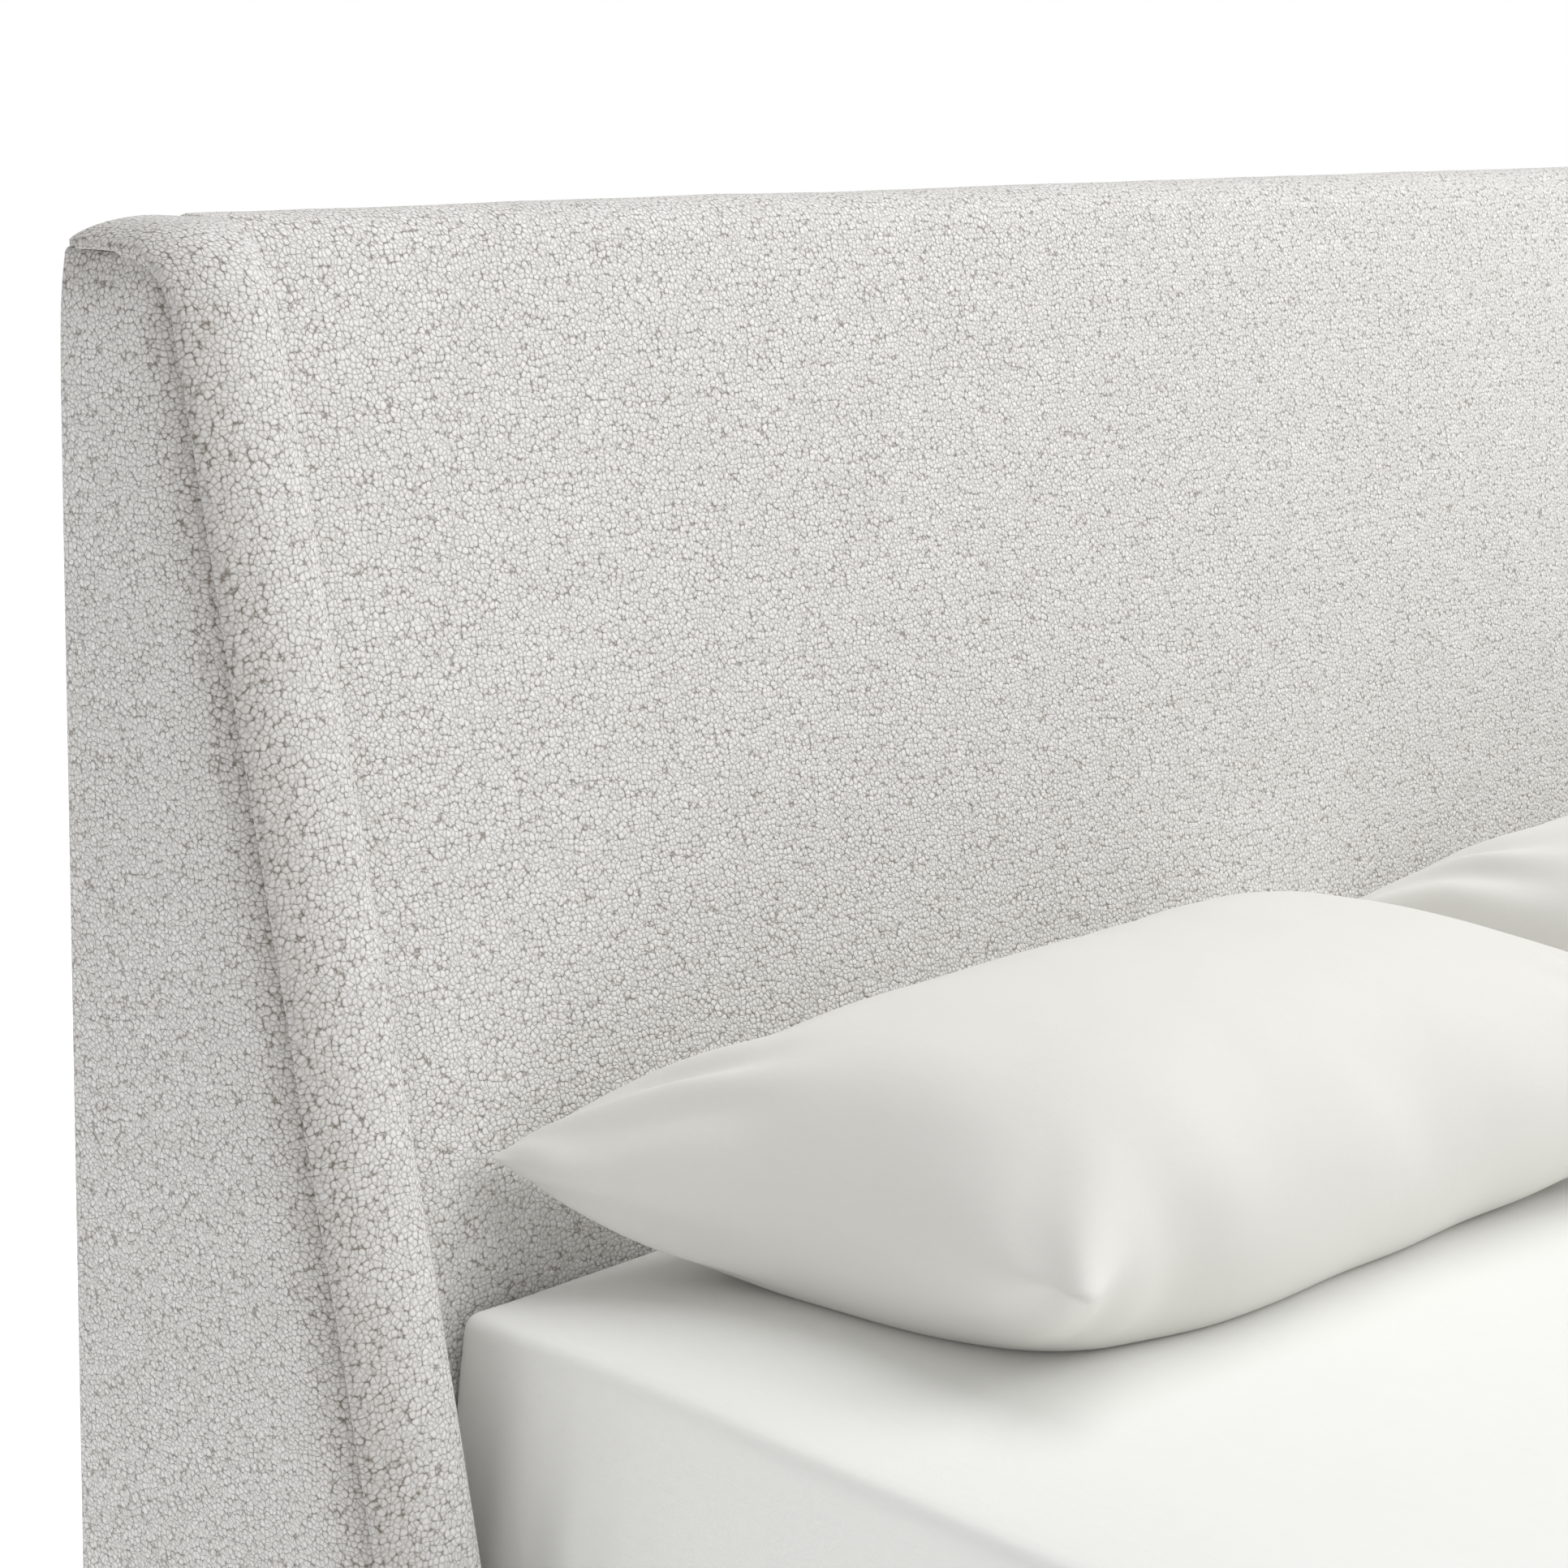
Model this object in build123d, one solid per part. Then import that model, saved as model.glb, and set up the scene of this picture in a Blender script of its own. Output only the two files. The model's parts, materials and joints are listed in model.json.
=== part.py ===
from build123d import *
import math
import os

# Upholstered bed for a queen mattress, with a raked and winged headboard, in
# millimetres. +X is to the right of somebody who looks from the foot to the
# head, +Y runs towards the head and +Z up. The origin is on the floor, in the
# middle of the bed. Left-hand pieces are modelled and mirrored to the right.

# ---------------------------------------------------------------- driving sizes
BED_LENGTH = 2274
MATTRESS_WIDTH = 1524
MATTRESS_LENGTH = 2032
MATTRESS_HEIGHT = 280
DECK_Z = 310                 # top of the slats
HEADBOARD_WIDTH = 1734
HEADBOARD_TOP_Z = 1152
MATTRESS_TO_BACK = 198       # mattress's head end to the headboard's back
RAKE = math.tan(math.radians(14.5))
WING_PROUD = 57              # a wing's front stands this far before the face
WING_THICKNESS = 68
RAIL_TOP_Z = 370
RAIL_BOTTOM_Z = 130

# ---------------------------------------------------------------- stock sizes
COVER = 3                    # headboard fabric with its backing
CLOTH = 2                    # back cloth
WING_PLY = 18
WING_WADDING = 8
POST_DEPTH = 70
HEAD_RAIL_DEPTH = 20
HEAD_RAIL_HEIGHT = 45
FACE_FOAM = 25
FACE_PLY = 6
LOWER_BOARD = 9
RIB_PLY = 18
GLIDE_HEIGHT = 20
RAIL_COVER = 2.5
RAIL_FOAM = 5.5
RAIL_CORE = 24
RAIL_EDGE_R = 10             # the cover's radius along a rail's top edges
FOOT_CORNER_R = 16           # and at the foot rail's upright outer corners
LEDGE = 30
SLAT_THICKNESS = 20
SLAT_WIDTH = 90
SLAT_COUNT = 14
TAPE_THICKNESS = 1.5
BEAM_WIDTH = 45
BEAM_HEIGHT = 70
HANGER_PLATE = 2
BRACKET_PLATE = 4
BRACKET_LEG = 60
BRACKET_HEIGHT = 80
BOLT_R = 4                   # M8
SCREW_R = 2.2
DRILL_GAP = 0.1              # a drilled hole's radius over its screw's radius
FIT_GAP = 0.5                # between covers that pass each other

# ---------------------------------------------------------------- derived places
HALF_MATTRESS = MATTRESS_WIDTH / 2
HALF_HEADBOARD = HEADBOARD_WIDTH / 2
BACK_Y = BED_LENGTH / 2
FOOT_Y = -BED_LENGTH / 2
COVER_BACK_Y = BACK_Y - CLOTH
FRAME_BACK_Y = COVER_BACK_Y - COVER
MATTRESS_HEAD_Y = BACK_Y - MATTRESS_TO_BACK
MATTRESS_FOOT_Y = MATTRESS_HEAD_Y - MATTRESS_LENGTH
MATTRESS_TOP_Z = DECK_Z + MATTRESS_HEIGHT
FACE_Y = MATTRESS_HEAD_Y + 8
WING_INNER_X = HALF_HEADBOARD - WING_THICKNESS
FRAME_INNER_X = WING_INNER_X + COVER
PLY_OUTER_X = HALF_HEADBOARD - COVER - WING_WADDING
PLY_INNER_X = PLY_OUTER_X - WING_PLY
RAIL_THICKNESS = 2 * RAIL_COVER + RAIL_FOAM + RAIL_CORE
RAIL_OUTER_X = WING_INNER_X - FIT_GAP
RAIL_INNER_X = RAIL_OUTER_X - RAIL_THICKNESS
RAIL_FOOT_Y = FOOT_Y + RAIL_THICKNESS
RAIL_HEAD_Y = FACE_Y - FIT_GAP
LEDGE_TOP_Z = DECK_Z - SLAT_THICKNESS
RAKE_SLOPE = 1 / math.cos(math.atan(RAKE))   # level distance for a square distance of 1

nodes = {}


# ---------------------------------------------------------------- helpers
def block(x0, x1, y0, y1, z0, z1):
    """A square-cornered block between two corners."""
    centre = Pos((x0 + x1) / 2, (y0 + y1) / 2, (z0 + z1) / 2)
    return centre * Box(x1 - x0, y1 - y0, z1 - z0)


def polygon(*points):
    return make_face(Polyline(*points, close=True))


def side_prism(outline, x0, x1):
    """Extrude an outline that is drawn in the side view (Y, Z) from x0 to x1."""
    return extrude(Plane.YZ.offset(x0) * outline, amount=x1 - x0)


TURNS = {
    "-x": (0, -90, 0), "+x": (0, 90, 0), "-y": (90, 0, 0),
    "+y": (-90, 0, 0), "-z": (180, 0, 0), "+z": (0, 0, 0),
}
OPPOSITE = {"-x": "+x", "-y": "+y", "+y": "-y", "-z": "+z", "+z": "-z"}


def pin(direction, place, radius, length):
    """A cylinder that starts at a place and runs along a direction."""
    upright = Cylinder(radius, length, align=(Align.CENTER, Align.CENTER, Align.MIN))
    return Pos(*place) * Rot(*TURNS[direction]) * upright


def fastener(direction, place, radius, length):
    """A screw or bolt whose round head stands on the surface at its place."""
    head = pin(OPPOSITE[direction], place, 1.8 * radius, 0.9 * radius)
    return pin(direction, place, radius, length) + head


def fasteners(rows):
    return [fastener(*row) for row in rows]


def both_ends(rows):
    """The rows of the left side and the same ones on the right."""
    return rows + [(way, (-x, y, z), radius, length) for way, (x, y, z), radius, length in rows]


def drilled(solid, rows):
    """Cut a clearance hole for each fastener of the rows."""
    for direction, place, radius, length in rows:
        solid -= pin(direction, place, radius + DRILL_GAP, length)
    return solid


def mirrored(solid):
    return mirror(solid, about=Plane.YZ)


def both_sides(solids):
    return solids + [mirrored(solid) for solid in solids]


def keep(name, *shapes):
    """Store a node: one solid, or a group of separate identical ones."""
    solids = [solid for shape in shapes for solid in shape.solids()]
    nodes[name] = solids[0] if len(solids) == 1 else Compound(children=solids)


def keep_pair(name, solid):
    keep(name + "_left", solid)
    keep(name + "_right", mirrored(solid))


# ---------------------------------------------------------------- fastener places
BRACKET_BOTTOM_Z = 175
BRACKET_BOLT_Z = (BRACKET_BOTTOM_Z + 20, BRACKET_BOTTOM_Z + 60)
BRACKET_BOLT_X = -RAIL_INNER_X + 32
BRACKET_FACES = {"head": FACE_Y, "foot": RAIL_FOOT_Y}


def rail_bolts(end):
    """The two bolts of a left-hand bracket that go into the side rail's core."""
    offset = -42 if end == "head" else 42
    x = -RAIL_INNER_X + BRACKET_PLATE
    return [("-x", (x, BRACKET_FACES[end] + offset, z), BOLT_R, 28) for z in BRACKET_BOLT_Z]


def end_bolts(end):
    """The two bolts that go through a left-hand bracket along the bed."""
    if end == "head":
        direction, y, length = "+y", FACE_Y - BRACKET_PLATE, 56
    else:
        direction, y, length = "-y", RAIL_FOOT_Y + BRACKET_PLATE, 28
    return [(direction, (BRACKET_BOLT_X, y, z), BOLT_R, length) for z in BRACKET_BOLT_Z]


def hanger_screws(end):
    """The four screws that hold a beam hanger to the headboard or the foot rail."""
    if end == "head":
        direction, y, length = "+y", FACE_Y - HANGER_PLATE, HANGER_PLATE + COVER + LOWER_BOARD
    else:
        direction, y, length = "-y", RAIL_FOOT_Y + HANGER_PLATE, 22
    return [(direction, (x, y, z), SCREW_R, length) for x in (-36, 36) for z in (212, 273)]


LEDGE_SCREWS = [("-x", (-RAIL_INNER_X + LEDGE, -1040 + 320 * i, 275), SCREW_R, 47) for i in range(7)]


# ---------------------------------------------------------------- headboard outlines
WING_FRONT_RADIUS = 55
FACE_FRONT_RADIUS = 28
TOP_REAR_RADIUS = 14


def face_y(z):
    """Front of the face: upright behind the mattress and raked above it."""
    return FACE_Y + RAKE * max(0, z - MATTRESS_TOP_Z)


def wing_y(z):
    """Front of a wing: one straight rake from the floor to the top."""
    return FACE_Y - WING_PROUD + RAKE * (z - MATTRESS_TOP_Z)


def rounded_top(outline, front_radius, rear_radius):
    """Round the two top corners of a side view."""
    for corner, radius in ((0, front_radius), (-1, rear_radius)):
        top = outline.vertices().group_by(Axis.Y)[-1].sort_by(Axis.X)
        outline = fillet(top[corner], radius)
    return outline


def wing_outline(inset):
    """Side view of a wing, with its front, top and back set in by a distance."""
    top = HEADBOARD_TOP_Z - inset
    rear = max(COVER_BACK_Y - inset, FRAME_BACK_Y)
    front = inset * RAKE_SLOPE
    outline = polygon(
        (rear, GLIDE_HEIGHT), (rear, top),
        (wing_y(top) + front, top), (wing_y(GLIDE_HEIGHT) + front, GLIDE_HEIGHT))
    return rounded_top(outline, WING_FRONT_RADIUS - inset, max(TOP_REAR_RADIUS - inset, 3))


def face_outline(inset, bottom):
    """Side view of the headboard between its wings, set in by a distance."""
    top = HEADBOARD_TOP_Z - inset
    rear = COVER_BACK_Y - inset
    front = inset * RAKE_SLOPE
    outline = polygon(
        (rear, bottom), (rear, top), (face_y(top) + front, top),
        (FACE_Y + front, MATTRESS_TOP_Z), (FACE_Y + front, bottom))
    return rounded_top(outline, FACE_FRONT_RADIUS - inset, TOP_REAR_RADIUS - inset)


# ---------------------------------------------------------------- headboard frame
POST_Y = FRAME_BACK_Y - POST_DEPTH
POST_TOP_Z = HEADBOARD_TOP_Z - 47
HEAD_RAIL_Y = FRAME_BACK_Y - HEAD_RAIL_DEPTH
BORDER_FOAM = 30             # foam over the plywood's front and top edges
BORDER_OUTER_R = 16          # the border foam's edge beside the seam
BORDER_ROLL_R = 20           # and its rounder edge beside the face
WADDING_INSET = 24           # the side wadding stops behind the border's seam
BOARD_INSET = COVER + FACE_FOAM
RIB_INSET = BOARD_INSET + FACE_PLY
LOWER_BOARD_Y = FACE_Y + COVER * RAKE_SLOPE
RIB_FRONT_Y = LOWER_BOARD_Y + LOWER_BOARD
FOAM_BOTTOM_Z = MATTRESS_TOP_Z - 12
INSIDE_BOTTOM_Z = RAIL_BOTTOM_Z + COVER
UPPER_BOARD_TOP_Z = POST_TOP_Z - 15
RIB_TOP_Z = POST_TOP_Z - 55


def headboard_frame():
    keep_pair("wing_frame", side_prism(wing_outline(BORDER_FOAM), -PLY_OUTER_X, -PLY_INNER_X))
    keep_pair("headboard_post", block(
        -PLY_INNER_X, -FRAME_INNER_X, POST_Y, FRAME_BACK_Y, GLIDE_HEIGHT, POST_TOP_Z))
    rail_tops = {"top": POST_TOP_Z, "middle": MATTRESS_TOP_Z + 15, "bottom": RAIL_BOTTOM_Z + 55}
    for name, top in rail_tops.items():
        keep("headboard_" + name + "_rail", block(
            -FRAME_INNER_X, FRAME_INNER_X, HEAD_RAIL_Y, FRAME_BACK_Y, top - HEAD_RAIL_HEIGHT, top))
    rail_block = block(-PLY_INNER_X, -RAIL_INNER_X + BRACKET_LEG, RIB_FRONT_Y, POST_Y, 150, 350)
    keep_pair("rail_block", drilled(rail_block, end_bolts("head")))


def headboard_boards():
    rib = polygon(
        (HEAD_RAIL_Y, INSIDE_BOTTOM_Z), (HEAD_RAIL_Y, RIB_TOP_Z),
        (face_y(RIB_TOP_Z) + RIB_INSET, RIB_TOP_Z), (FACE_Y + RIB_INSET, MATTRESS_TOP_Z),
        (FACE_Y + RIB_INSET, FOAM_BOTTOM_Z), (RIB_FRONT_Y, FOAM_BOTTOM_Z),
        (RIB_FRONT_Y, INSIDE_BOTTOM_Z))
    rib_places = (-520, -260, 0, 260, 520)
    keep("headboard_ribs", *[
        side_prism(rib, x - RIB_PLY / 2, x + RIB_PLY / 2) for x in rib_places])

    upper = polygon(
        (FACE_Y + BOARD_INSET, FOAM_BOTTOM_Z), (FACE_Y + BOARD_INSET, MATTRESS_TOP_Z),
        (face_y(UPPER_BOARD_TOP_Z) + BOARD_INSET, UPPER_BOARD_TOP_Z),
        (face_y(UPPER_BOARD_TOP_Z) + RIB_INSET, UPPER_BOARD_TOP_Z),
        (FACE_Y + RIB_INSET, MATTRESS_TOP_Z), (FACE_Y + RIB_INSET, FOAM_BOTTOM_Z))
    keep("face_board_upper", side_prism(upper, -FRAME_INNER_X, FRAME_INNER_X))
    lower = block(
        -FRAME_INNER_X, FRAME_INNER_X, LOWER_BOARD_Y, RIB_FRONT_Y, INSIDE_BOTTOM_Z, FOAM_BOTTOM_Z)
    keep("face_board_lower", drilled(lower, headboard_holes()))


def headboard_holes():
    """Every fastener that passes the headboard's front, on both sides."""
    return both_ends(end_bolts("head")) + hanger_screws("head")


def headboard_glides():
    """Nailed nylon glides under the plywood of each wing."""
    x = -(PLY_OUTER_X + PLY_INNER_X) / 2
    disc = pin("+z", (0, 0, 0), 17, GLIDE_HEIGHT)
    eased = fillet(disc.edges().group_by(Axis.Z)[0], 3)
    places = (wing_y(GLIDE_HEIGHT) + BORDER_FOAM + 40, FRAME_BACK_Y - 35)
    keep("headboard_glides", *both_sides([Pos(x, y, 0) * eased for y in places]))


# ---------------------------------------------------------------- headboard padding
def headboard_padding():
    behind_board = polygon(
        (FACE_Y + BOARD_INSET, FOAM_BOTTOM_Z - 1), (FACE_Y + BOARD_INSET, MATTRESS_TOP_Z),
        (face_y(POST_TOP_Z) + BOARD_INSET, POST_TOP_Z),
        (BACK_Y, POST_TOP_Z), (BACK_Y, FOAM_BOTTOM_Z - 1))
    foam = face_outline(COVER, FOAM_BOTTOM_Z) - behind_board
    keep("headboard_foam", side_prism(foam, -FRAME_INNER_X, FRAME_INNER_X))

    border_depth = BORDER_FOAM + WING_PROUD - 8
    behind_border = polygon(
        (wing_y(0) + border_depth, 0), (wing_y(POST_TOP_Z) + border_depth, POST_TOP_Z),
        (BACK_Y, POST_TOP_Z), (BACK_Y, 0))
    border = side_prism(wing_outline(COVER), -PLY_OUTER_X, -FRAME_INNER_X)
    for side, radius in ((0, BORDER_OUTER_R), (-1, BORDER_ROLL_R)):
        face = border.faces().sort_by(Axis.X)[side]
        rolled = [edge for edge in face.edges() if edge.center().Y < FRAME_BACK_Y - 20
                  and edge.center().Z > GLIDE_HEIGHT + 1]
        border = fillet(rolled, radius)
    border -= side_prism(wing_outline(BORDER_FOAM), -PLY_OUTER_X, -PLY_INNER_X)
    border -= side_prism(behind_border, -PLY_INNER_X, -FRAME_INNER_X)
    border -= block(-PLY_INNER_X, -FRAME_INNER_X, POST_Y, BACK_Y, 0, POST_TOP_Z)
    keep_pair("wing_foam", border)
    keep_pair("wing_wadding", side_prism(
        wing_outline(WADDING_INSET), COVER - HALF_HEADBOARD, -PLY_OUTER_X))


# ---------------------------------------------------------------- headboard covers
def headboard_covers():
    """The cover is open underneath and turns round to the back, under the cloth."""
    side_x = HALF_HEADBOARD - COVER
    wing = side_prism(wing_outline(0), -side_x, -WING_INNER_X)
    inside_wing = side_prism(wing_outline(COVER), -side_x, -FRAME_INNER_X)
    face = side_prism(face_outline(0, RAIL_BOTTOM_Z), -WING_INNER_X, WING_INNER_X)
    inside_face = side_prism(
        face_outline(COVER, RAIL_BOTTOM_Z - 1), -FRAME_INNER_X, FRAME_INNER_X)
    turned_back = 50
    back_opening = block(
        turned_back - side_x, side_x - turned_back, FRAME_BACK_Y - 1, BACK_Y,
        0, HEADBOARD_TOP_Z - turned_back)
    cover = face + wing + mirrored(wing)
    cover = cover - inside_face - inside_wing - mirrored(inside_wing) - back_opening
    keep("headboard_cover", drilled(cover, headboard_holes()))
    keep_pair("wing_cover", side_prism(wing_outline(0), -HALF_HEADBOARD, -side_x))
    keep("headboard_back_cloth", block(
        14 - side_x, side_x - 14, COVER_BACK_Y, BACK_Y, RAIL_BOTTOM_Z, HEADBOARD_TOP_Z - 20))


# ---------------------------------------------------------------- side and foot rails
def rail_skin(length, inset, corner_radius):
    """A rail's outer shape, from its outer face at X 0, along +Y from 0."""
    skin = block(
        inset, RAIL_THICKNESS - inset, inset, length - inset,
        RAIL_BOTTOM_Z + inset, RAIL_TOP_Z - inset)
    top_edges = skin.edges().group_by(Axis.Z)[-1].filter_by(Axis.Y)
    if corner_radius:
        uprights = skin.edges().filter_by(Axis.Z).group_by(Axis.X)[0]
        skin = fillet(uprights, corner_radius - inset)
        top_edges = skin.faces().sort_by(Axis.Z)[-1].edges()
    return fillet(top_edges, RAIL_EDGE_R - inset)


def rail_layers(length, corner_radius=0):
    outer = rail_skin(length, 0, corner_radius)
    inner = rail_skin(length, RAIL_COVER, corner_radius)
    core = inner & block(
        RAIL_COVER + RAIL_FOAM, RAIL_THICKNESS, 0, length,
        RAIL_BOTTOM_Z, RAIL_TOP_Z - RAIL_COVER - RAIL_FOAM)
    return {"cover": outer - inner, "foam": inner - core, "core": core}


def rails():
    side_place = Pos(-RAIL_OUTER_X, RAIL_FOOT_Y, 0)
    side_holes = rail_bolts("head") + rail_bolts("foot") + LEDGE_SCREWS
    for layer, solid in rail_layers(RAIL_HEAD_Y - RAIL_FOOT_Y).items():
        solid = side_place * solid
        if layer != "foam":
            solid = drilled(solid, side_holes)
        keep_pair("side_rail_" + layer, solid)

    foot_place = Pos(RAIL_OUTER_X, FOOT_Y, 0) * Rot(0, 0, 90)
    foot_holes = both_ends(end_bolts("foot")) + hanger_screws("foot")
    for layer, solid in rail_layers(2 * RAIL_OUTER_X, FOOT_CORNER_R).items():
        solid = foot_place * solid
        if layer != "foam":
            solid = drilled(solid, foot_holes)
        keep("foot_rail_" + layer, solid)


# ---------------------------------------------------------------- joints of the frame
def corner_hardware():
    brackets = []
    for end, way in (("head", -1), ("foot", 1)):
        face = BRACKET_FACES[end]
        along = sorted((face, face + way * BRACKET_LEG))
        across = sorted((face, face + way * BRACKET_PLATE))
        z = (BRACKET_BOTTOM_Z, BRACKET_BOTTOM_Z + BRACKET_HEIGHT)
        angle = block(-RAIL_INNER_X, -RAIL_INNER_X + BRACKET_PLATE, *along, *z)
        angle += block(-RAIL_INNER_X, -RAIL_INNER_X + BRACKET_LEG, *across, *z)
        brackets.append(drilled(angle, rail_bolts(end) + end_bolts(end)))
    keep("corner_brackets", *both_sides(brackets))
    bolts = rail_bolts("head") + end_bolts("head") + rail_bolts("foot") + end_bolts("foot")
    keep("bracket_bolts", *both_sides(fasteners(bolts)))


def slat_ledges():
    ledge = block(
        -RAIL_INNER_X, -RAIL_INNER_X + LEDGE, RAIL_FOOT_Y, RAIL_HEAD_Y,
        LEDGE_TOP_Z - LEDGE, LEDGE_TOP_Z)
    keep_pair("slat_ledge", drilled(ledge, LEDGE_SCREWS + SLAT_SCREWS))
    keep("ledge_screws", *both_sides(fasteners(LEDGE_SCREWS)))


# ---------------------------------------------------------------- foot legs
CORNER_BLOCK = 90
CORNER_BLOCK_TOP_Z = 175
LEG_X = -RAIL_INNER_X + CORNER_BLOCK / 2
LEG_Y = RAIL_FOOT_Y + CORNER_BLOCK / 2
LEG_PAD = 8
LEG_TOP_R = 29
LEG_FOOT_R = 19


def foot_legs():
    bolt = pin("+z", (LEG_X, LEG_Y, RAIL_BOTTOM_Z - 40), BOLT_R, 80)
    bolt_hole = pin("+z", (LEG_X, LEG_Y, RAIL_BOTTOM_Z - 40), BOLT_R + DRILL_GAP, 80)
    corner = block(
        -RAIL_INNER_X, -RAIL_INNER_X + CORNER_BLOCK, RAIL_FOOT_Y, RAIL_FOOT_Y + CORNER_BLOCK,
        RAIL_BOTTOM_Z, CORNER_BLOCK_TOP_Z)
    keep_pair("corner_block", corner - bolt_hole)
    leg = Pos(LEG_X, LEG_Y, (RAIL_BOTTOM_Z + LEG_PAD) / 2) * Cone(
        LEG_FOOT_R, LEG_TOP_R, RAIL_BOTTOM_Z - LEG_PAD)
    keep_pair("foot_leg", leg - bolt_hole)
    keep("foot_leg_bolts", *both_sides([bolt]))
    pad = pin("+z", (0, 0, 0), LEG_FOOT_R - 3, LEG_PAD)
    pad = fillet(pad.edges().group_by(Axis.Z)[0], 2)
    keep("foot_leg_glides", *both_sides([Pos(LEG_X, LEG_Y, 0) * pad]))


# ---------------------------------------------------------------- centre beam
BEAM_BOTTOM_Z = LEDGE_TOP_Z - BEAM_HEIGHT
SUPPORT_PLACES = {"head": 350, "foot": -450}
SUPPORT_PLATE = 3
TUBE_R = 16
TUBE_WALL = 2
TUBE_BOTTOM_Z = 34
STUD_R = 5                   # M10
STUD_TOP_Z = 52
STUD_GAP = 0.05


def support_screws(end):
    """The four screws from a support leg's plate up into the beam."""
    z = BEAM_BOTTOM_Z - SUPPORT_PLATE
    return [
        ("+z", (x, SUPPORT_PLACES[end] + y, z), SCREW_R, 25) for x in (-13, 13) for y in (-38, 38)]


def centre_beam():
    half = BEAM_WIDTH / 2
    start, end = RAIL_FOOT_Y + HANGER_PLATE, FACE_Y - HANGER_PLATE
    beam = block(-half, half, start, end, BEAM_BOTTOM_Z, LEDGE_TOP_Z)
    keep("centre_beam", drilled(beam, support_screws("head") + support_screws("foot")))

    hangers = []
    for name, face, way in (("head", FACE_Y, -1), ("foot", RAIL_FOOT_Y, 1)):
        plate_y = sorted((face, face + way * HANGER_PLATE))
        seat_y = sorted((face + way * HANGER_PLATE, face + way * 42))
        outer = half + HANGER_PLATE
        hanger = block(-45, 45, *plate_y, 200, 285)
        hanger += block(-outer, outer, *seat_y, BEAM_BOTTOM_Z - HANGER_PLATE, BEAM_BOTTOM_Z)
        for x0, x1 in ((-outer, -half), (half, outer)):
            hanger += block(x0, x1, *seat_y, BEAM_BOTTOM_Z, BEAM_BOTTOM_Z + 50)
        hangers.append(drilled(hanger, hanger_screws(name)))
    keep("beam_hangers", *hangers)
    screws = hanger_screws("head") + hanger_screws("foot")
    screws += support_screws("head") + support_screws("foot")
    keep("beam_screws", *fasteners(screws))


def support_legs():
    inserts = []
    for name, y in SUPPORT_PLACES.items():
        plate = block(-21, 21, y - 50, y + 50, BEAM_BOTTOM_Z - SUPPORT_PLATE, BEAM_BOTTOM_Z)
        tube_length = BEAM_BOTTOM_Z - SUPPORT_PLATE - TUBE_BOTTOM_Z
        tube = pin("+z", (0, y, TUBE_BOTTOM_Z), TUBE_R, tube_length)
        tube -= pin("+z", (0, y, TUBE_BOTTOM_Z), TUBE_R - TUBE_WALL, tube_length)
        keep("support_leg_" + name, drilled(plate + tube, support_screws(name)))

        insert = pin("+z", (0, y, TUBE_BOTTOM_Z - 4), TUBE_R, 4)
        insert += pin("+z", (0, y, TUBE_BOTTOM_Z), TUBE_R - TUBE_WALL - DRILL_GAP, 26)
        inserts.append(insert - pin("+z", (0, y, 0), STUD_R + STUD_GAP, 100))

        foot = pin("+z", (0, y, 0), TUBE_R + 3, 8)
        foot = fillet(foot.edges().group_by(Axis.Z)[0], 2)
        keep("levelling_glide_" + name, foot + pin("+z", (0, y, 8), STUD_R, STUD_TOP_Z - 8))
    keep("support_leg_inserts", *inserts)


# ---------------------------------------------------------------- slats
SLAT_HALF = HALF_MATTRESS - 3
FIRST_SLAT_Y = MATTRESS_FOOT_Y + 3
LAST_SLAT_Y = MATTRESS_HEAD_Y - 9 - SLAT_WIDTH
SLAT_PITCH = (LAST_SLAT_Y - FIRST_SLAT_Y) / (SLAT_COUNT - 1)
SLAT_SCREWS = [
    ("-z", (-SLAT_HALF + 10, y + SLAT_WIDTH / 2, DECK_Z - 4), SCREW_R, 36)
    for y in (FIRST_SLAT_Y, LAST_SLAT_Y)]


def slats():
    slat_row = []
    for i in range(SLAT_COUNT):
        y = FIRST_SLAT_Y + i * SLAT_PITCH
        slat = block(-SLAT_HALF, SLAT_HALF, y, y + SLAT_WIDTH, LEDGE_TOP_Z, DECK_Z)
        if i in (0, SLAT_COUNT - 1):
            row = [r for r in both_ends(SLAT_SCREWS) if y < r[1][1] < y + SLAT_WIDTH]
            slat = drilled(slat, row)
            for _, (x, screw_y, z), radius, _ in row:
                slat -= pin("+z", (x, screw_y, z), 2 * radius, 10)
        slat_row.append(slat)
    keep("slats", *slat_row)
    keep("slat_screws", *both_sides(fasteners(SLAT_SCREWS)))
    tape = block(
        -395, -365, FIRST_SLAT_Y, LAST_SLAT_Y + SLAT_WIDTH,
        LEDGE_TOP_Z - TAPE_THICKNESS, LEDGE_TOP_Z)
    keep("slat_tapes", *both_sides([tape]))


# ---------------------------------------------------------------- bedding
SHEET = 3
PILLOW_LENGTH = 686
PILLOW_DEPTH = 410
PILLOW_HEIGHT = 176
PILLOW_LEFT_X = 30 - HALF_MATTRESS
PILLOW_REAR_Y = MATTRESS_HEAD_Y + 15
PILLOW_CASE = 1.5


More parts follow.
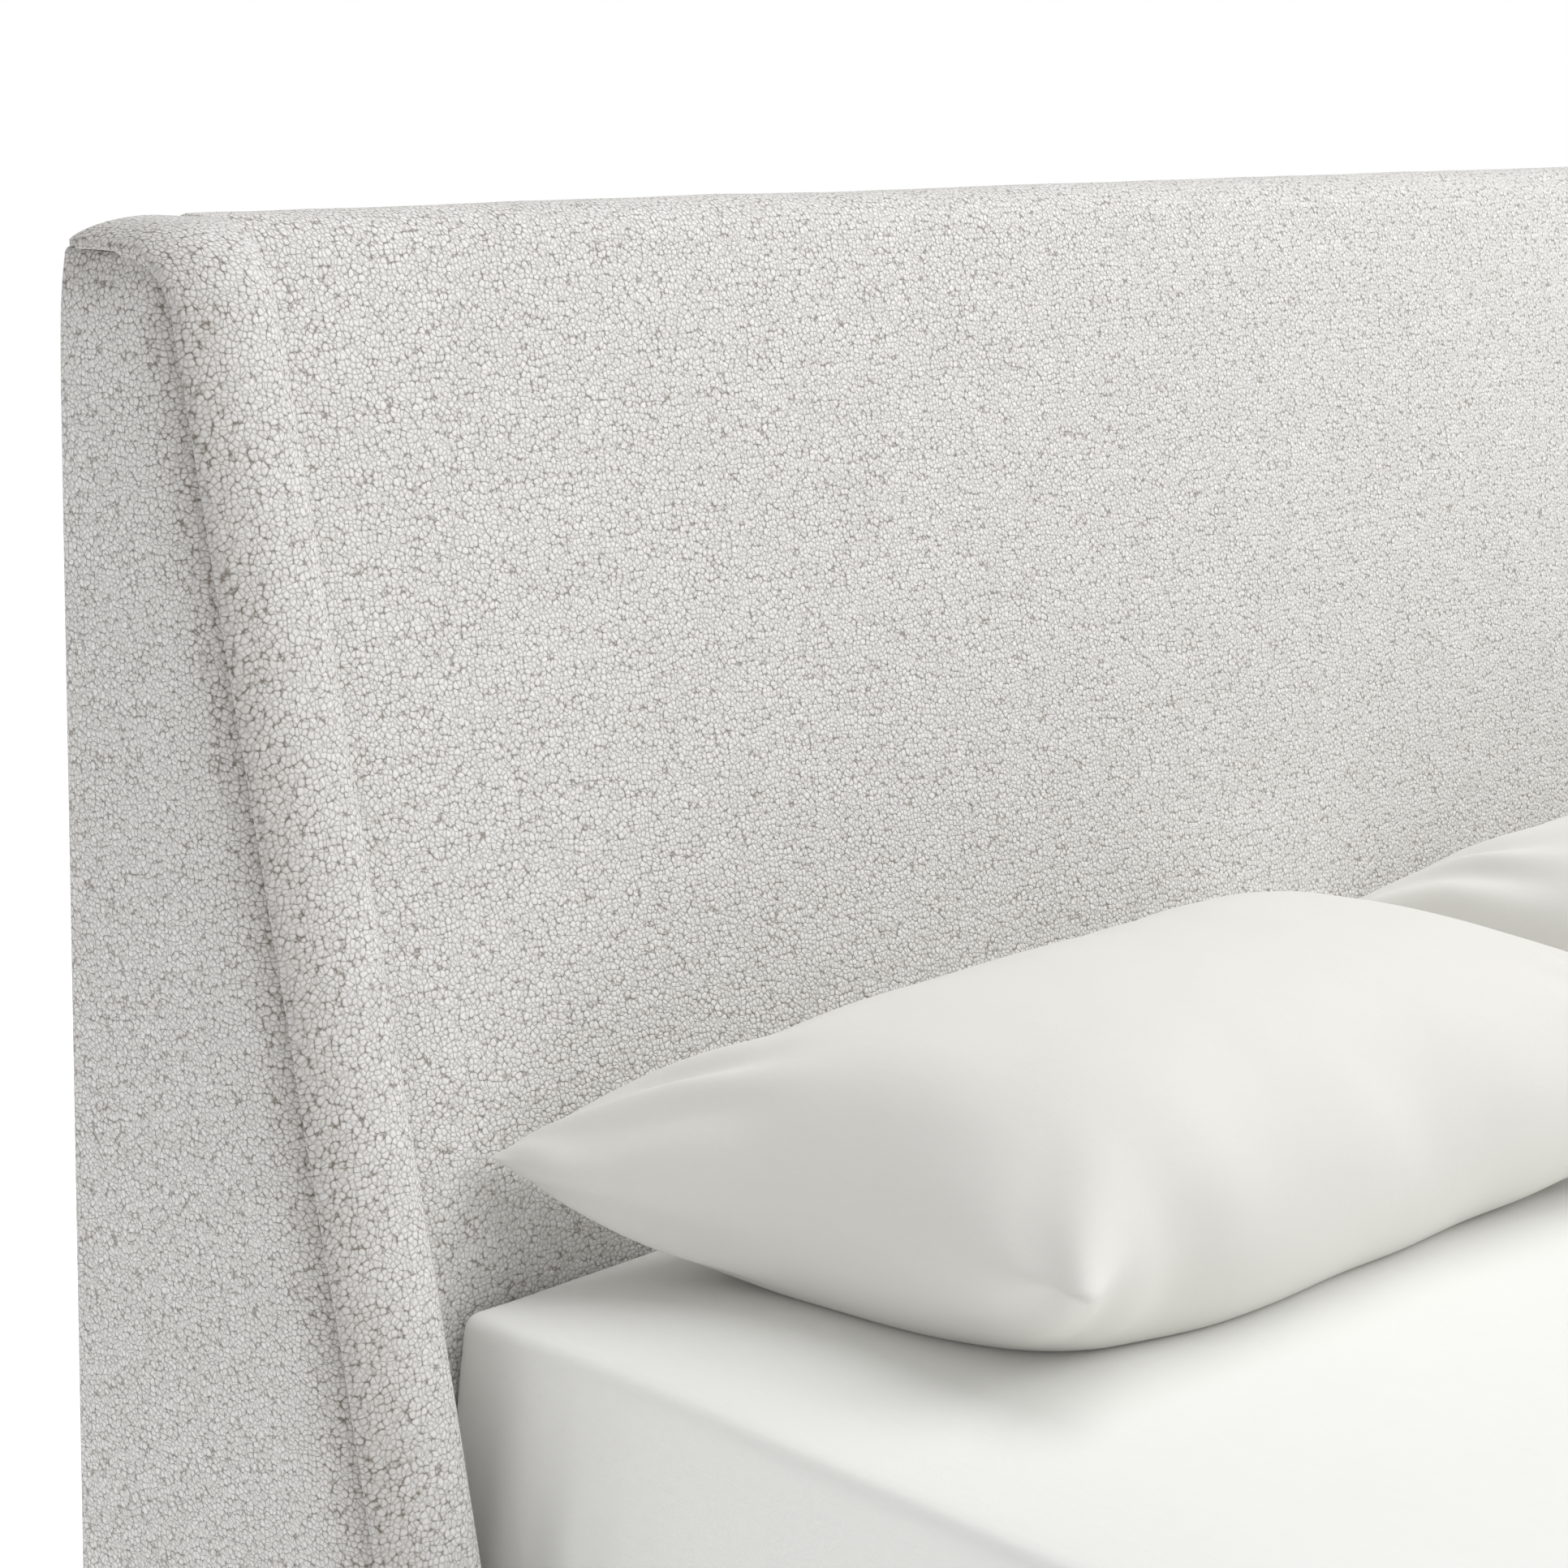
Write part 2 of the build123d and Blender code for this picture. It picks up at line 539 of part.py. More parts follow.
def mattress():
    def rounded(inset):
        solid = block(
            inset - HALF_MATTRESS, HALF_MATTRESS - inset, MATTRESS_FOOT_Y + inset,
            MATTRESS_HEAD_Y - inset, DECK_Z + inset, MATTRESS_TOP_Z - inset)
        solid = fillet(solid.edges().filter_by(Axis.Z), 26 - inset)
        return fillet(solid.edges().group_by(Axis.Z)[-1], 22 - inset)
    core = rounded(SHEET)
    hem = 150
    underside = block(
        hem - HALF_MATTRESS, HALF_MATTRESS - hem, MATTRESS_FOOT_Y + hem,
        MATTRESS_HEAD_Y - hem, DECK_Z - 1, DECK_Z + SHEET + 1)
    keep("mattress_core", core)
    keep("fitted_sheet", rounded(0) - core - underside)


def pillow_shape(inset):
    """A plain plump pillow: a block with all its edges well rounded."""
    solid = block(
        PILLOW_LEFT_X + inset, PILLOW_LEFT_X + PILLOW_LENGTH - inset,
        PILLOW_REAR_Y - PILLOW_DEPTH + inset, PILLOW_REAR_Y - inset,
        MATTRESS_TOP_Z + inset, MATTRESS_TOP_Z + PILLOW_HEIGHT - inset)
    solid = fillet(solid.edges().filter_by(Axis.Z), 95 - inset)
    solid = fillet(solid.edges().group_by(Axis.Z)[-1], 70 - inset)
    return fillet(solid.edges().group_by(Axis.Z)[0], 70 - inset)


def pillows():
    insert = pillow_shape(PILLOW_CASE)
    keep_pair("pillow_insert", insert)
    keep_pair("pillowcase", pillow_shape(0) - insert)


# ---------------------------------------------------------------- the bed
headboard_frame()
headboard_boards()
headboard_glides()
headboard_padding()
headboard_covers()
rails()
corner_hardware()
slat_ledges()
foot_legs()
centre_beam()
support_legs()
slats()
mattress()
pillows()

os.makedirs("parts", exist_ok=True)
for node_name, shape in nodes.items():
    export_step(shape, "parts/" + node_name + ".step")
print(len(nodes), "nodes")
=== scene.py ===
# %% [markdown]
# # A winged bed in boucle
#
# The timber frame, the slats, the brackets and the feet of this bed come ready made, in their
# places. What is left to make here is everything that is soft: the boucle cover of the headboard
# and of the rails, the fitted sheet on the mattress and two plump pillows. Each step says what
# the piece is on the real bed, how it could be made, and why it is made this way.

# %% Load the frame of the bed
import json
import math

import bmesh
import bpy
import numpy as np
from mathutils import Euler, Matrix, Vector, noise


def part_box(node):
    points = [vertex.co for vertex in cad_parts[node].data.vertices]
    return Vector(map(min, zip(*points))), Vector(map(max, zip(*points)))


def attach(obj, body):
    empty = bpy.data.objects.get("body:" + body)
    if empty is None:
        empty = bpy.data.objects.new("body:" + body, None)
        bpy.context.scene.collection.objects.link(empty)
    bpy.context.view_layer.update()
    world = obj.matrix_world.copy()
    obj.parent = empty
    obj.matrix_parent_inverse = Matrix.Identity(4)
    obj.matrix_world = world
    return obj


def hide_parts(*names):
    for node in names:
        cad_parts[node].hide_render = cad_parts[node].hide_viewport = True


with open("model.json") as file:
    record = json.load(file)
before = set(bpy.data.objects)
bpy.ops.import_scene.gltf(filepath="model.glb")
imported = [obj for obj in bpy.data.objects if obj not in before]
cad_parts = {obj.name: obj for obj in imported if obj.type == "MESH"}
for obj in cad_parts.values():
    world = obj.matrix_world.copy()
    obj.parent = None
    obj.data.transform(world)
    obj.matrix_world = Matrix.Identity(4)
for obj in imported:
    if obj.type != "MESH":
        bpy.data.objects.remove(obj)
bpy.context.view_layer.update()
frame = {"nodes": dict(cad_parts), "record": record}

# %% [markdown]
# ## Where things are
#
# Every soft piece takes its place from the frame. The headboard is described from the side: a
# raked front line for its wings, a second one further back for the face between them, and one
# flat top that both run into over a round edge.

# %% Places taken from the frame
cover_low, cover_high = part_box("headboard_cover")
side_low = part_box("wing_cover_left")[0]
sheet_low, sheet_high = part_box("fitted_sheet")
rail_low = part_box("side_rail_cover_left")[0]
board_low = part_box("face_board_lower")[0]

MM = 0.001
COVER = 3 * MM               # the boucle with its backing
CLOTH = 2.4 * MM             # the boucle alone, as it is made here
RAKE = math.tan(math.radians(14.5))
OUTER_X = -side_low.x
WING_INNER_X = -board_low.x - COVER
TOP_Z = cover_high.z
FLOOR_GAP = cover_low.z
BACK_Y = cover_high.y
MATTRESS_TOP_Z = sheet_high.z
FACE_BOTTOM_Z = rail_low.z
WING_FOOT_Y = cover_low.y
WING_PROUD = 57 * MM
FACE_Y = WING_FOOT_Y + WING_PROUD + RAKE * (MATTRESS_TOP_Z - FLOOR_GAP)
print("face at", round(FACE_Y, 4), "top at", round(TOP_Z, 4), "wings from", round(WING_INNER_X, 4))

# %% [markdown]
# ## The camera
#
# The view looks down on the head end from beside the bed. The place is measured from the corner
# of the mattress that is nearest to it, so the camera goes with the bed if its size changes.

# %% Camera
head_corner = Vector((sheet_low.x, sheet_high.y, sheet_high.z))
CAMERA_FROM_CORNER = Vector((-1.127, -1.286, 0.688))
CAMERA_YAW, CAMERA_PITCH, CAMERA_ROLL = 46.75, 13.18, 1.72

camera_data = bpy.data.cameras.new("camera")
camera_data.lens = 78.6
camera_data.sensor_width = 36
camera = bpy.data.objects.new("camera", camera_data)
bpy.context.scene.collection.objects.link(camera)
aim = Euler((math.radians(90 - CAMERA_PITCH), 0, math.radians(-CAMERA_YAW))).to_matrix()
aim = aim @ Matrix.Rotation(math.radians(CAMERA_ROLL), 3, "Z")
camera.matrix_world = Matrix.Translation(head_corner + CAMERA_FROM_CORNER) @ aim.to_4x4()
bpy.context.scene.camera = camera

# %% [markdown]
# ## Small tools
#
# Operators act on what is selected, so each helper first clears the selection. `grid_piece` is
# the one that the covers are made with: it adds a flat grid primitive with as many rows and
# columns as asked, and then puts each of its points in place by a rule, as a sculptor would
# push a sheet of clay over a former. `bevelled_box` makes what is boxy underneath, the rails and
# the mattress's sheet: a cube with soft edges, cut into short lengths so that it can be shaped.


# %% Helpers for meshes
def pick(obj):
    """Select one object and make it active."""
    bpy.ops.object.select_all(action="DESELECT")
    obj.select_set(True)
    bpy.context.view_layer.objects.active = obj
    return obj


def added(name):
    """Name the primitive that was just added, and its mesh."""
    obj = bpy.context.object
    obj.name = obj.data.name = name
    return obj


def fix_place(obj):
    """Move the object's place into its mesh."""
    pick(obj)
    bpy.ops.object.transform_apply(location=True, rotation=True, scale=True)
    return obj


def modified(obj, kind, **settings):
    """Add a modifier, set it and apply it."""
    pick(obj)
    modifier = obj.modifiers.new(kind.lower(), kind)
    for name, value in settings.items():
        setattr(modifier, name, value)
    bpy.ops.object.modifier_apply(modifier=modifier.name)
    return obj


def select_where(obj, kind, test):
    """In edit mode, select the VERT, EDGE or FACE elements that pass a test."""
    bpy.ops.mesh.select_mode(type=kind)
    mesh = bmesh.from_edit_mesh(obj.data)
    for element in {"VERT": mesh.verts, "EDGE": mesh.edges, "FACE": mesh.faces}[kind]:
        element.select = test(element)
    bmesh.update_edit_mesh(obj.data)


def clamped(value):
    """Held between 0 and 1."""
    return min(1, max(0, value))


def points_of(obj):
    co = np.empty(len(obj.data.vertices) * 3)
    obj.data.vertices.foreach_get("co", co)
    return co.reshape(-1, 3)


def set_points(obj, co):
    obj.data.vertices.foreach_set("co", np.ascontiguousarray(co, dtype=float).ravel())
    obj.data.update()


def smooth(obj, degrees=None):
    pick(obj)
    if degrees is None:
        bpy.ops.object.shade_smooth()
    else:
        bpy.ops.object.shade_smooth_by_angle(angle=math.radians(degrees))
    return obj


def recalculated(obj):
    """Merge doubles and turn all faces outwards."""
    pick(obj)
    bpy.ops.object.mode_set(mode="EDIT")
    bpy.ops.mesh.select_all(action="SELECT")
    bpy.ops.mesh.remove_doubles(threshold=1e-5)
    bpy.ops.mesh.normals_make_consistent(inside=False)
    bpy.ops.object.mode_set(mode="OBJECT")
    return obj


def grid_piece(name, rows, columns, place, shade):
    """A grid primitive whose points are put in place by place(row, column).

    shade(row, column) says how much painted shade darkens the boucle there, along seams and
    creases, from 0 to 1.
    """
    bpy.ops.mesh.primitive_grid_add(x_subdivisions=columns - 1, y_subdivisions=rows - 1, size=1)
    obj = added(name)
    co = points_of(obj)
    column = np.rint((co[:, 0] + 0.5) * (columns - 1)).astype(int)
    row = np.rint((co[:, 1] + 0.5) * (rows - 1)).astype(int)
    table = np.array([[place(r, c) for c in range(columns)] for r in range(rows)])
    set_points(obj, table[row, column])
    # Painted shade: these values darken the boucle's colour along the seams and in the crease
    # beside the face.
    seam_shade = np.array([[shade(r, c) for c in range(columns)] for r in range(rows)])
    layer = obj.data.attributes.new("painted_seam_shade", "FLOAT", "POINT")
    layer.data.foreach_set("value", seam_shade[row, column].astype(np.float32))
    return obj


def bevelled_box(name, low, high, bevels, cuts):
    """A cube from low to high with bevelled edges, cut across at some places.

    bevels holds (test of the two ends of an edge, radius, segments), in the order they are made;
    cuts holds (axis, place along it).
    """
    bpy.ops.mesh.primitive_cube_add(size=1, location=(low + high) / 2)
    obj = added(name)
    obj.scale = high - low
    fix_place(obj)
    bpy.ops.object.mode_set(mode="EDIT")
    for test, radius, segments in bevels:
        select_where(obj, "EDGE", lambda edge: test(*(vert.co for vert in edge.verts)))
        bpy.ops.mesh.bevel(offset=radius, segments=segments, profile=0.5, affect="EDGES")
    for axis, place in cuts:
        point, normal = [0, 0, 0], [0, 0, 0]
        point[axis], normal[axis] = place, 1
        bpy.ops.mesh.select_all(action="SELECT")
        bpy.ops.mesh.bisect(plane_co=point, plane_no=normal)
    bpy.ops.object.mode_set(mode="OBJECT")
    return obj


def thick(obj, thickness):
    """Give a cloth its thickness, inwards from the face that is seen."""
    return modified(obj, "SOLIDIFY", thickness=thickness, offset=-1, use_even_offset=False)


def own_copy(obj, name):
    """A copy with its own mesh."""
    other = obj.copy()
    other.data = obj.data.copy()
    other.name = other.data.name = name
    bpy.context.scene.collection.objects.link(other)
    return other


def soft_noise(point, size, depth):
    """A smooth random height at a point, for cloth that isn't perfectly even."""
    return noise.noise(Vector(point) / size) * depth


def mirror_copy(obj, name):
    """The right-hand piece: a copy turned over in X."""
    other = own_copy(obj, name)
    co = points_of(other)
    co[:, 0] *= -1
    set_points(other, co)
    pick(other)
    bpy.ops.object.mode_set(mode="EDIT")
    bpy.ops.mesh.select_all(action="SELECT")
    bpy.ops.mesh.flip_normals()
    bpy.ops.object.mode_set(mode="OBJECT")
    return other


def report(obj):
    triangles = sum(len(p.vertices) - 2 for p in obj.data.polygons)
    print(obj.name, len(obj.data.vertices), "points", triangles, "triangles")
    return obj


# %% [markdown]
# ## The headboard seen from the side
#
# Two lines run from the floor over the top to the back: one for the wings' rolled border, one
# for the face. They have the same number of stations, so the border's inner wall is simply the
# surface between them. The rake is straight, so only the round top needs short steps.

# %% Side outlines
WING_RADIUS = 55 * MM        # front edge of the top, over the wings
FACE_RADIUS = 28 * MM        # and over the face
REAR_RADIUS = 14 * MM
BACK_RETURN = 50 * MM        # the cover turns down the back by this much
FACE_BEND = 30 * MM          # half the height of the bend from upright to raked
RAKE_END_Z = TOP_Z - 42 * MM
RAKE_ROWS = 118
TOP_ROWS = 44
ROWS = RAKE_ROWS + TOP_ROWS
LEAN = math.atan(RAKE)


def wing_y(z):
    return FACE_Y - WING_PROUD + RAKE * (z - MATTRESS_TOP_Z)


def face_y(z):
    """The face is upright behind the mattress; a short bend leads into the rake."""
    rise = z - MATTRESS_TOP_Z
    if rise < -FACE_BEND:
        return FACE_Y
    if rise > FACE_BEND:
        return FACE_Y + RAKE * rise
    return FACE_Y + RAKE * (rise + FACE_BEND) ** 2 / (4 * FACE_BEND)


def evenly(path, count):
    """Points at even steps along a path."""
    path = np.array(path)
    along = np.r_[0, np.cumsum(np.linalg.norm(np.diff(path, axis=0), axis=1))]
    steps = np.linspace(0, along[-1], count)
    return np.stack([np.interp(steps, along, path[:, k]) for k in (0, 1)], axis=1)


def over_the_top(line, radius):
    """From the rake over the round front edge, the flat top and the rear edge, down the back."""
    reach = radius * math.tan((math.pi / 2 - LEAN) / 2)
    y = line(TOP_Z) + reach
    start = TOP_Z - reach * math.cos(LEAN)
    path = [(line(start), start)]
    for turn in np.linspace(LEAN, math.pi / 2, 17)[1:]:
        path.append((y - radius * math.cos(turn), TOP_Z - radius + radius * math.sin(turn)))
    for turn in np.linspace(math.pi / 2, 0, 13):
        path.append((BACK_Y - REAR_RADIUS + REAR_RADIUS * math.cos(turn),
                     TOP_Z - REAR_RADIUS + REAR_RADIUS * math.sin(turn)))
    return path + [(BACK_Y, TOP_Z - BACK_RETURN)]


def side_line(line, radius):
    """Stations (y, z) from the bottom up the rake, over the top and down the back."""
    rake = [(line(z), z) for z in np.linspace(FLOOR_GAP, RAKE_END_Z, RAKE_ROWS, endpoint=False)]
    top = [(line(RAKE_END_Z), RAKE_END_Z)] + over_the_top(line, radius)
    return np.array(rake + list(evenly(top, TOP_ROWS)))


wing_line, face_line = side_line(wing_y, WING_RADIUS), side_line(face_y, FACE_RADIUS)


def outward(line):
    """Unit vectors square to a side line, pointing out of the headboard."""
    along = np.gradient(line, axis=0)
    normal = np.stack([-along[:, 1], along[:, 0]], axis=1)
    return normal / np.linalg.norm(normal, axis=1, keepdims=True)


wing_out, face_out = outward(wing_line), outward(face_line)
print("side outline", ROWS, "rows")

# %% [markdown]
# ## The boucle cover
#
# On the real headboard one cover is sewn from a border, which runs round the wings and over the
# top, and a face that is pulled tight over foam. The border is a soft roll: it starts in the
# seam of the side panel, swells to a rounded crown and drops on its inner side into the crease
# beside the face. A block with bevels would give it even, machined edges. Here the section across
# the border is drawn as two quarter curves, and that section is carried up the side outline.

# %% Section across the border
SEAM_INSET = 16 * MM         # the seam lies this far inside the wing's outline
SEAM_DEPTH = 9.5 * MM        # and this far in from the side panel's face
WIDEST_INSET = 12.5 * MM     # between seam and crown the roll is at its widest
ROLL_SWELL = 0.5 * MM        # and swells this far past the panel's plane
CROWN_X = -OUTER_X + 45 * MM
SEAM_SIDE = CROWN_X + OUTER_X + ROLL_SWELL
INNER_SIDE = -WING_INNER_X - CROWN_X
BACK_CORNER_R = 9 * MM       # the side panel's upright rear corner
BORDER_CORNER_R = 16 * MM    # the border's rear corner, seen from above
BORDER_SINK = 2.5 * MM       # the border's outer side is this much lower at the back
SINK_LENGTH = 45 * MM
REAR_TUCK = 3 * MM           # it goes this far under the panel's rear corner
ROLL_DEPTH = 30 * MM         # the inner quarter drops this far before the wall runs straight
FACE_BULGE = 4 * MM          # how much fuller the face is than its edges
BULGE_RUN = 45 * MM          # and how fast it becomes so, beside a wing
BULGE_TOP = 60 * MM          # and under the top
FACE_COLUMNS = 130
SEAM_COLUMNS = 6
WALL_STEPS = ((0.3, 0.1), (0.6, 0.4), (0.82, 1.5), (0.94, 4.0), (1, 9))   # share, mm inwards


def quarter(t, power):
    """A quarter of a rounded square, from (1, 0) at t=0 to (0, 1) at t=1."""
    angle = t * math.pi / 2
    return math.cos(angle) ** (2 / power), math.sin(angle) ** (2 / power)


def border_section():
    """(x, inset from the wing's outline, share of the roll's depth, share of the wall)."""
    section = []
    for i in range(SEAM_COLUMNS):
        sink, turn = quarter(1 - i / SEAM_COLUMNS, 2.0)
        section.append((-OUTER_X - ROLL_SWELL + (SEAM_DEPTH + ROLL_SWELL) * (1 - sink),
                        WIDEST_INSET + (SEAM_INSET + 1.5 * MM - WIDEST_INSET) * turn, 0, 0))
    for i in range(12):
        side, rise = quarter(i / 11, 1.8)
        section.append((CROWN_X - SEAM_SIDE * side, WIDEST_INSET * (1 - rise), 0, 0))
    for i in range(1, 13):
        rise, side = quarter(i / 12, 2.25)
        section.append((CROWN_X + INNER_SIDE * side, 0, 1 - rise, 0))
    for share, step in WALL_STEPS:
        section.append((-WING_INNER_X + step * MM, 0, 1, share))
    return section


section = border_section()
first_face_x = section[-1][0]
face_xs = np.linspace(first_face_x, -first_face_x, FACE_COLUMNS + 2)[1:-1]
columns = section + [(x, 0, 1, 1) for x in face_xs]
columns += [(-x, *rest) for x, *rest in section[::-1]]
proud = abs(((face_line - wing_line) * wing_out).sum(axis=1))
roll_depth = np.minimum(ROLL_DEPTH, 0.54 * proud)


def seam_tightness(upward):
    """The seam is deep along the sloping front and shallow along the top."""
    return 1 - 0.8 * clamped((upward - 0.3) / 0.6)


def rounded_back(x):
    """How far back the border may lie at x: its outer corners are round."""
    past = clamped((abs(x) - OUTER_X) / BORDER_CORNER_R + 1)
    return BACK_Y - BORDER_CORNER_R * (1 - math.sqrt(1 - past * past))


def outer_share(x):
    """From 0 at the wing's inner side to 1 at its outer side."""
    return clamped((abs(x) - WING_INNER_X) / (OUTER_X - WING_INNER_X))


def cover_point(row, column):
    x, inset, drop, share = columns[column]
    out = wing_out[row]
    if min(column, len(columns) - 1 - column) < SEAM_COLUMNS:
        x = math.copysign(OUTER_X - (OUTER_X - abs(x)) * seam_tightness(out[1]), x)
    inset += drop * roll_depth[row]
    wing = wing_line[row] - inset * (out if out[0] < 0 else np.array([0, 1]))
    sink = clamped((wing[0] - BACK_Y) / SINK_LENGTH + 1)
    wing[1] -= BORDER_SINK * sink ** 2 * outer_share(x)
    wing[0] = min(wing[0], rounded_back(x))
    if out[0] >= 0 and wing[1] < TOP_Z - SEAM_INSET and abs(x) > OUTER_X - BACK_CORNER_R:
        wing[0] -= REAR_TUCK                    # under the side panel's rear corner
        x = math.copysign(OUTER_X - BACK_CORNER_R, x)
    face = face_line[row]
    if share == 1 and face_out[row][0] < 0:
        from_wing = max(0, abs(first_face_x) - abs(x))
        bulge = FACE_BULGE * (1 - math.exp(-from_wing / BULGE_RUN))
        face = face + face_out[row] * bulge * clamped((TOP_Z - face[1]) / BULGE_TOP)
    y, z = wing * (1 - share) + face * share
    ripple = soft_noise((x, y, z), 0.11, 0.8 * MM) + soft_noise((x, y, z), 0.035, 0.35 * MM)
    out = out * (1 - share) + face_out[row] * share
    if out[0] > 0.5:                            # flat under the back cloth
        return x, y - 0.5 * MM, z
    return x, y + out[0] * ripple, z + out[1] * ripple


def cover_shade(row, column):
    """Painted shade: the boucle is darkened along the seam and in the crease beside the face."""
    x, inset, drop, share = columns[column]
    from_seam = math.hypot(abs(x) - OUTER_X + SEAM_DEPTH, SEAM_INSET - inset) + drop
    # painted shade in the crease beside the face, where the roll shades it
    crease = math.exp(-((abs(x) - WING_INNER_X) / 0.02) ** 2) * (share > 0.3) * 0.9
    return max(math.exp(-(from_seam / 0.021) ** 2), crease * clamped(roll_depth[row] / 0.02))


cover = grid_piece("headboard_boucle_cover", ROWS, len(columns), cover_point, cover_shade)

# %% [markdown]
# The face stops at the height of the rails, and below it the two wings stand alone as legs. So
# the face's lowest rows are cut away in edit mode, and the open edge of each leg is extruded
# straight back to close its inner side.

# %% Cut the face free below the rails and close the legs
inner_x = WING_INNER_X - 0.3 * MM
LEG_BACK_Y = BACK_Y - 4 * MM


def open_leg_edge(edge):
    """An upright edge of the cut, beside a leg."""
    ends = [vert.co for vert in edge.verts]
    return (edge.is_boundary and abs(ends[0].z - ends[1].z) > 2 * MM
            and all(end.z < FACE_BOTTOM_Z + 8 * MM for end in ends)
            and all(abs(abs(end.x) - WING_INNER_X) < 3 * MM for end in ends))


pick(cover)
bpy.ops.object.mode_set(mode="EDIT")
select_where(cover, "VERT", lambda vert: (
    vert.co.z < FACE_BOTTOM_Z - 1 * MM and abs(vert.co.x) < inner_x))
bpy.ops.mesh.delete(type="VERT")
select_where(cover, "EDGE", open_leg_edge)
bpy.ops.mesh.extrude_edges_move()
mesh = bmesh.from_edit_mesh(cover.data)
for vert in mesh.verts:
    if vert.select:
        vert.co.x = math.copysign(WING_INNER_X, vert.co.x)
        vert.co.y = LEG_BACK_Y
bmesh.update_edit_mesh(cover.data)
bpy.ops.object.mode_set(mode="OBJECT")
thick(cover, CLOTH)
smooth(cover)
report(cover)

# %% [markdown]
# ## The side panels
#
# A panel of the same boucle closes each outer side. It is sewn to the border in front and on
# top, where it dives into the seam, and at the back it simply turns round the corner. It has a
# little wadding under it, so it is fuller in the middle than at its seam.

# %% Side panel
PANEL_FRONT_R = WING_RADIUS - SEAM_INSET
PANEL_REAR_R = 2.5 * MM
PANEL_TOP_Z = TOP_Z - SEAM_INSET
PANEL_CROWN = 4.5 * MM       # how full the panel is in its middle
PANEL_RETURN = 38 * MM       # how far it turns in behind


def panel_front(z):
    """The seam line: the wing's front set in, and rounded at its top."""
    inset = SEAM_INSET / math.cos(LEAN)
    reach = PANEL_FRONT_R * math.tan((math.pi / 2 - LEAN) / 2)
    centre_y = wing_y(PANEL_TOP_Z) + inset + reach
    centre_z = PANEL_TOP_Z - PANEL_FRONT_R
    if z <= PANEL_TOP_Z - reach * math.cos(LEAN):
        return wing_y(z) + inset
    drop = min(1, max(-1, (z - centre_z) / PANEL_FRONT_R))
    return centre_y - PANEL_FRONT_R * math.sqrt(1 - drop * drop)


def panel_rear(z):
    drop = max(0, z - (PANEL_TOP_Z - PANEL_REAR_R)) / PANEL_REAR_R
    return BACK_Y - PANEL_REAR_R * (1 - math.sqrt(max(0, 1 - drop * drop)))


panel_rows = np.r_[
    np.linspace(FLOOR_GAP, PANEL_TOP_Z - PANEL_FRONT_R, 90, endpoint=False),
    PANEL_TOP_Z - PANEL_FRONT_R * (1 - np.sin(np.linspace(0, math.pi / 2, 22)))]
dense = np.array([0, 0.6, 1.2, 2, 3.2, 5, 8, 13, 20, 30, 44]) * MM
panel_columns = [("front", d) for d in dense] + [("across", k / 24) for k in range(25)]
panel_columns += [("corner", k / 5) for k in range(1, 6)] + [("back", k / 3) for k in (1, 2, 3)]


def seam_dive(distance, z):
    """How deep the panel lies below its full face at a distance from the seam."""
    tight = seam_tightness((z - PANEL_TOP_Z) / (30 * MM) + 1)
    broad = PANEL_CROWN + 3 * MM
    narrow = SEAM_DEPTH * tight - 3 * MM
    hidden = 2 * MM * math.exp(-distance / (1.2 * MM))
    return hidden + narrow * math.exp(-distance / (4 * MM)) + broad * math.exp(-distance / 0.017)


# Painted shade on the side panel, darkest along its seam.
def panel_shade(row, column):
    kind, value = panel_columns[column]
    z = panel_rows[row]
    across = (panel_point(row, column)[1] - panel_front(z)) if kind in ("front", "across") else 1
    return math.exp(-(max(0, min(across, PANEL_TOP_Z - z)) / 0.024) ** 2)


def panel_point(row, column):
    kind, value = panel_columns[column]
    z = panel_rows[row]
    front, rear = panel_front(z), panel_rear(z)
    start = front + min(dense[-1], 0.35 * (rear - front))
    corner = min(BACK_CORNER_R, 0.2 * (rear - front))
    end = rear - corner
    x, y = -OUTER_X, end
    if kind == "front":
        y = front + value * (start - front) / dense[-1]
    elif kind == "across":
        y = start + (end - start) * value
    elif kind == "corner":
        y = end + corner * math.sin(value * math.pi / 2)
        x += corner * (1 - math.cos(value * math.pi / 2))
    else:
        y, x = rear, -OUTER_X + corner + PANEL_RETURN * value
    if kind in ("front", "across"):
        from_seam = min((y - front) * math.cos(LEAN), PANEL_TOP_Z - z)
        x += seam_dive(max(0, from_seam), z) - PANEL_CROWN
        x -= soft_noise((0, y, z), 0.09, 0.7 * MM)
    elif kind == "corner":
        x += (seam_dive(PANEL_TOP_Z - z, z) - PANEL_CROWN) * (1 - value)
    return x, y, z


panel = grid_piece(
    "wing_panel_left", len(panel_rows), len(panel_columns), panel_point, panel_shade)
recalculated(panel)
thick(panel, CLOTH)
smooth(panel)
panel_right = mirror_copy(panel, "wing_panel_right")
report(panel)

# %% [markdown]
# ## The rails' covers
#
# The rails are boards with a thin skin of foam, wrapped in the same boucle. Their long top edges
# are rounded by the foam, and so are the foot rail's upright outer corners. Each is a bevelled
# box, cut into short lengths so that the cloth can be a little uneven.

# %% Rail covers
RAIL_CUT = 20 * MM
RAIL_HEIGHT_CUTS = 12


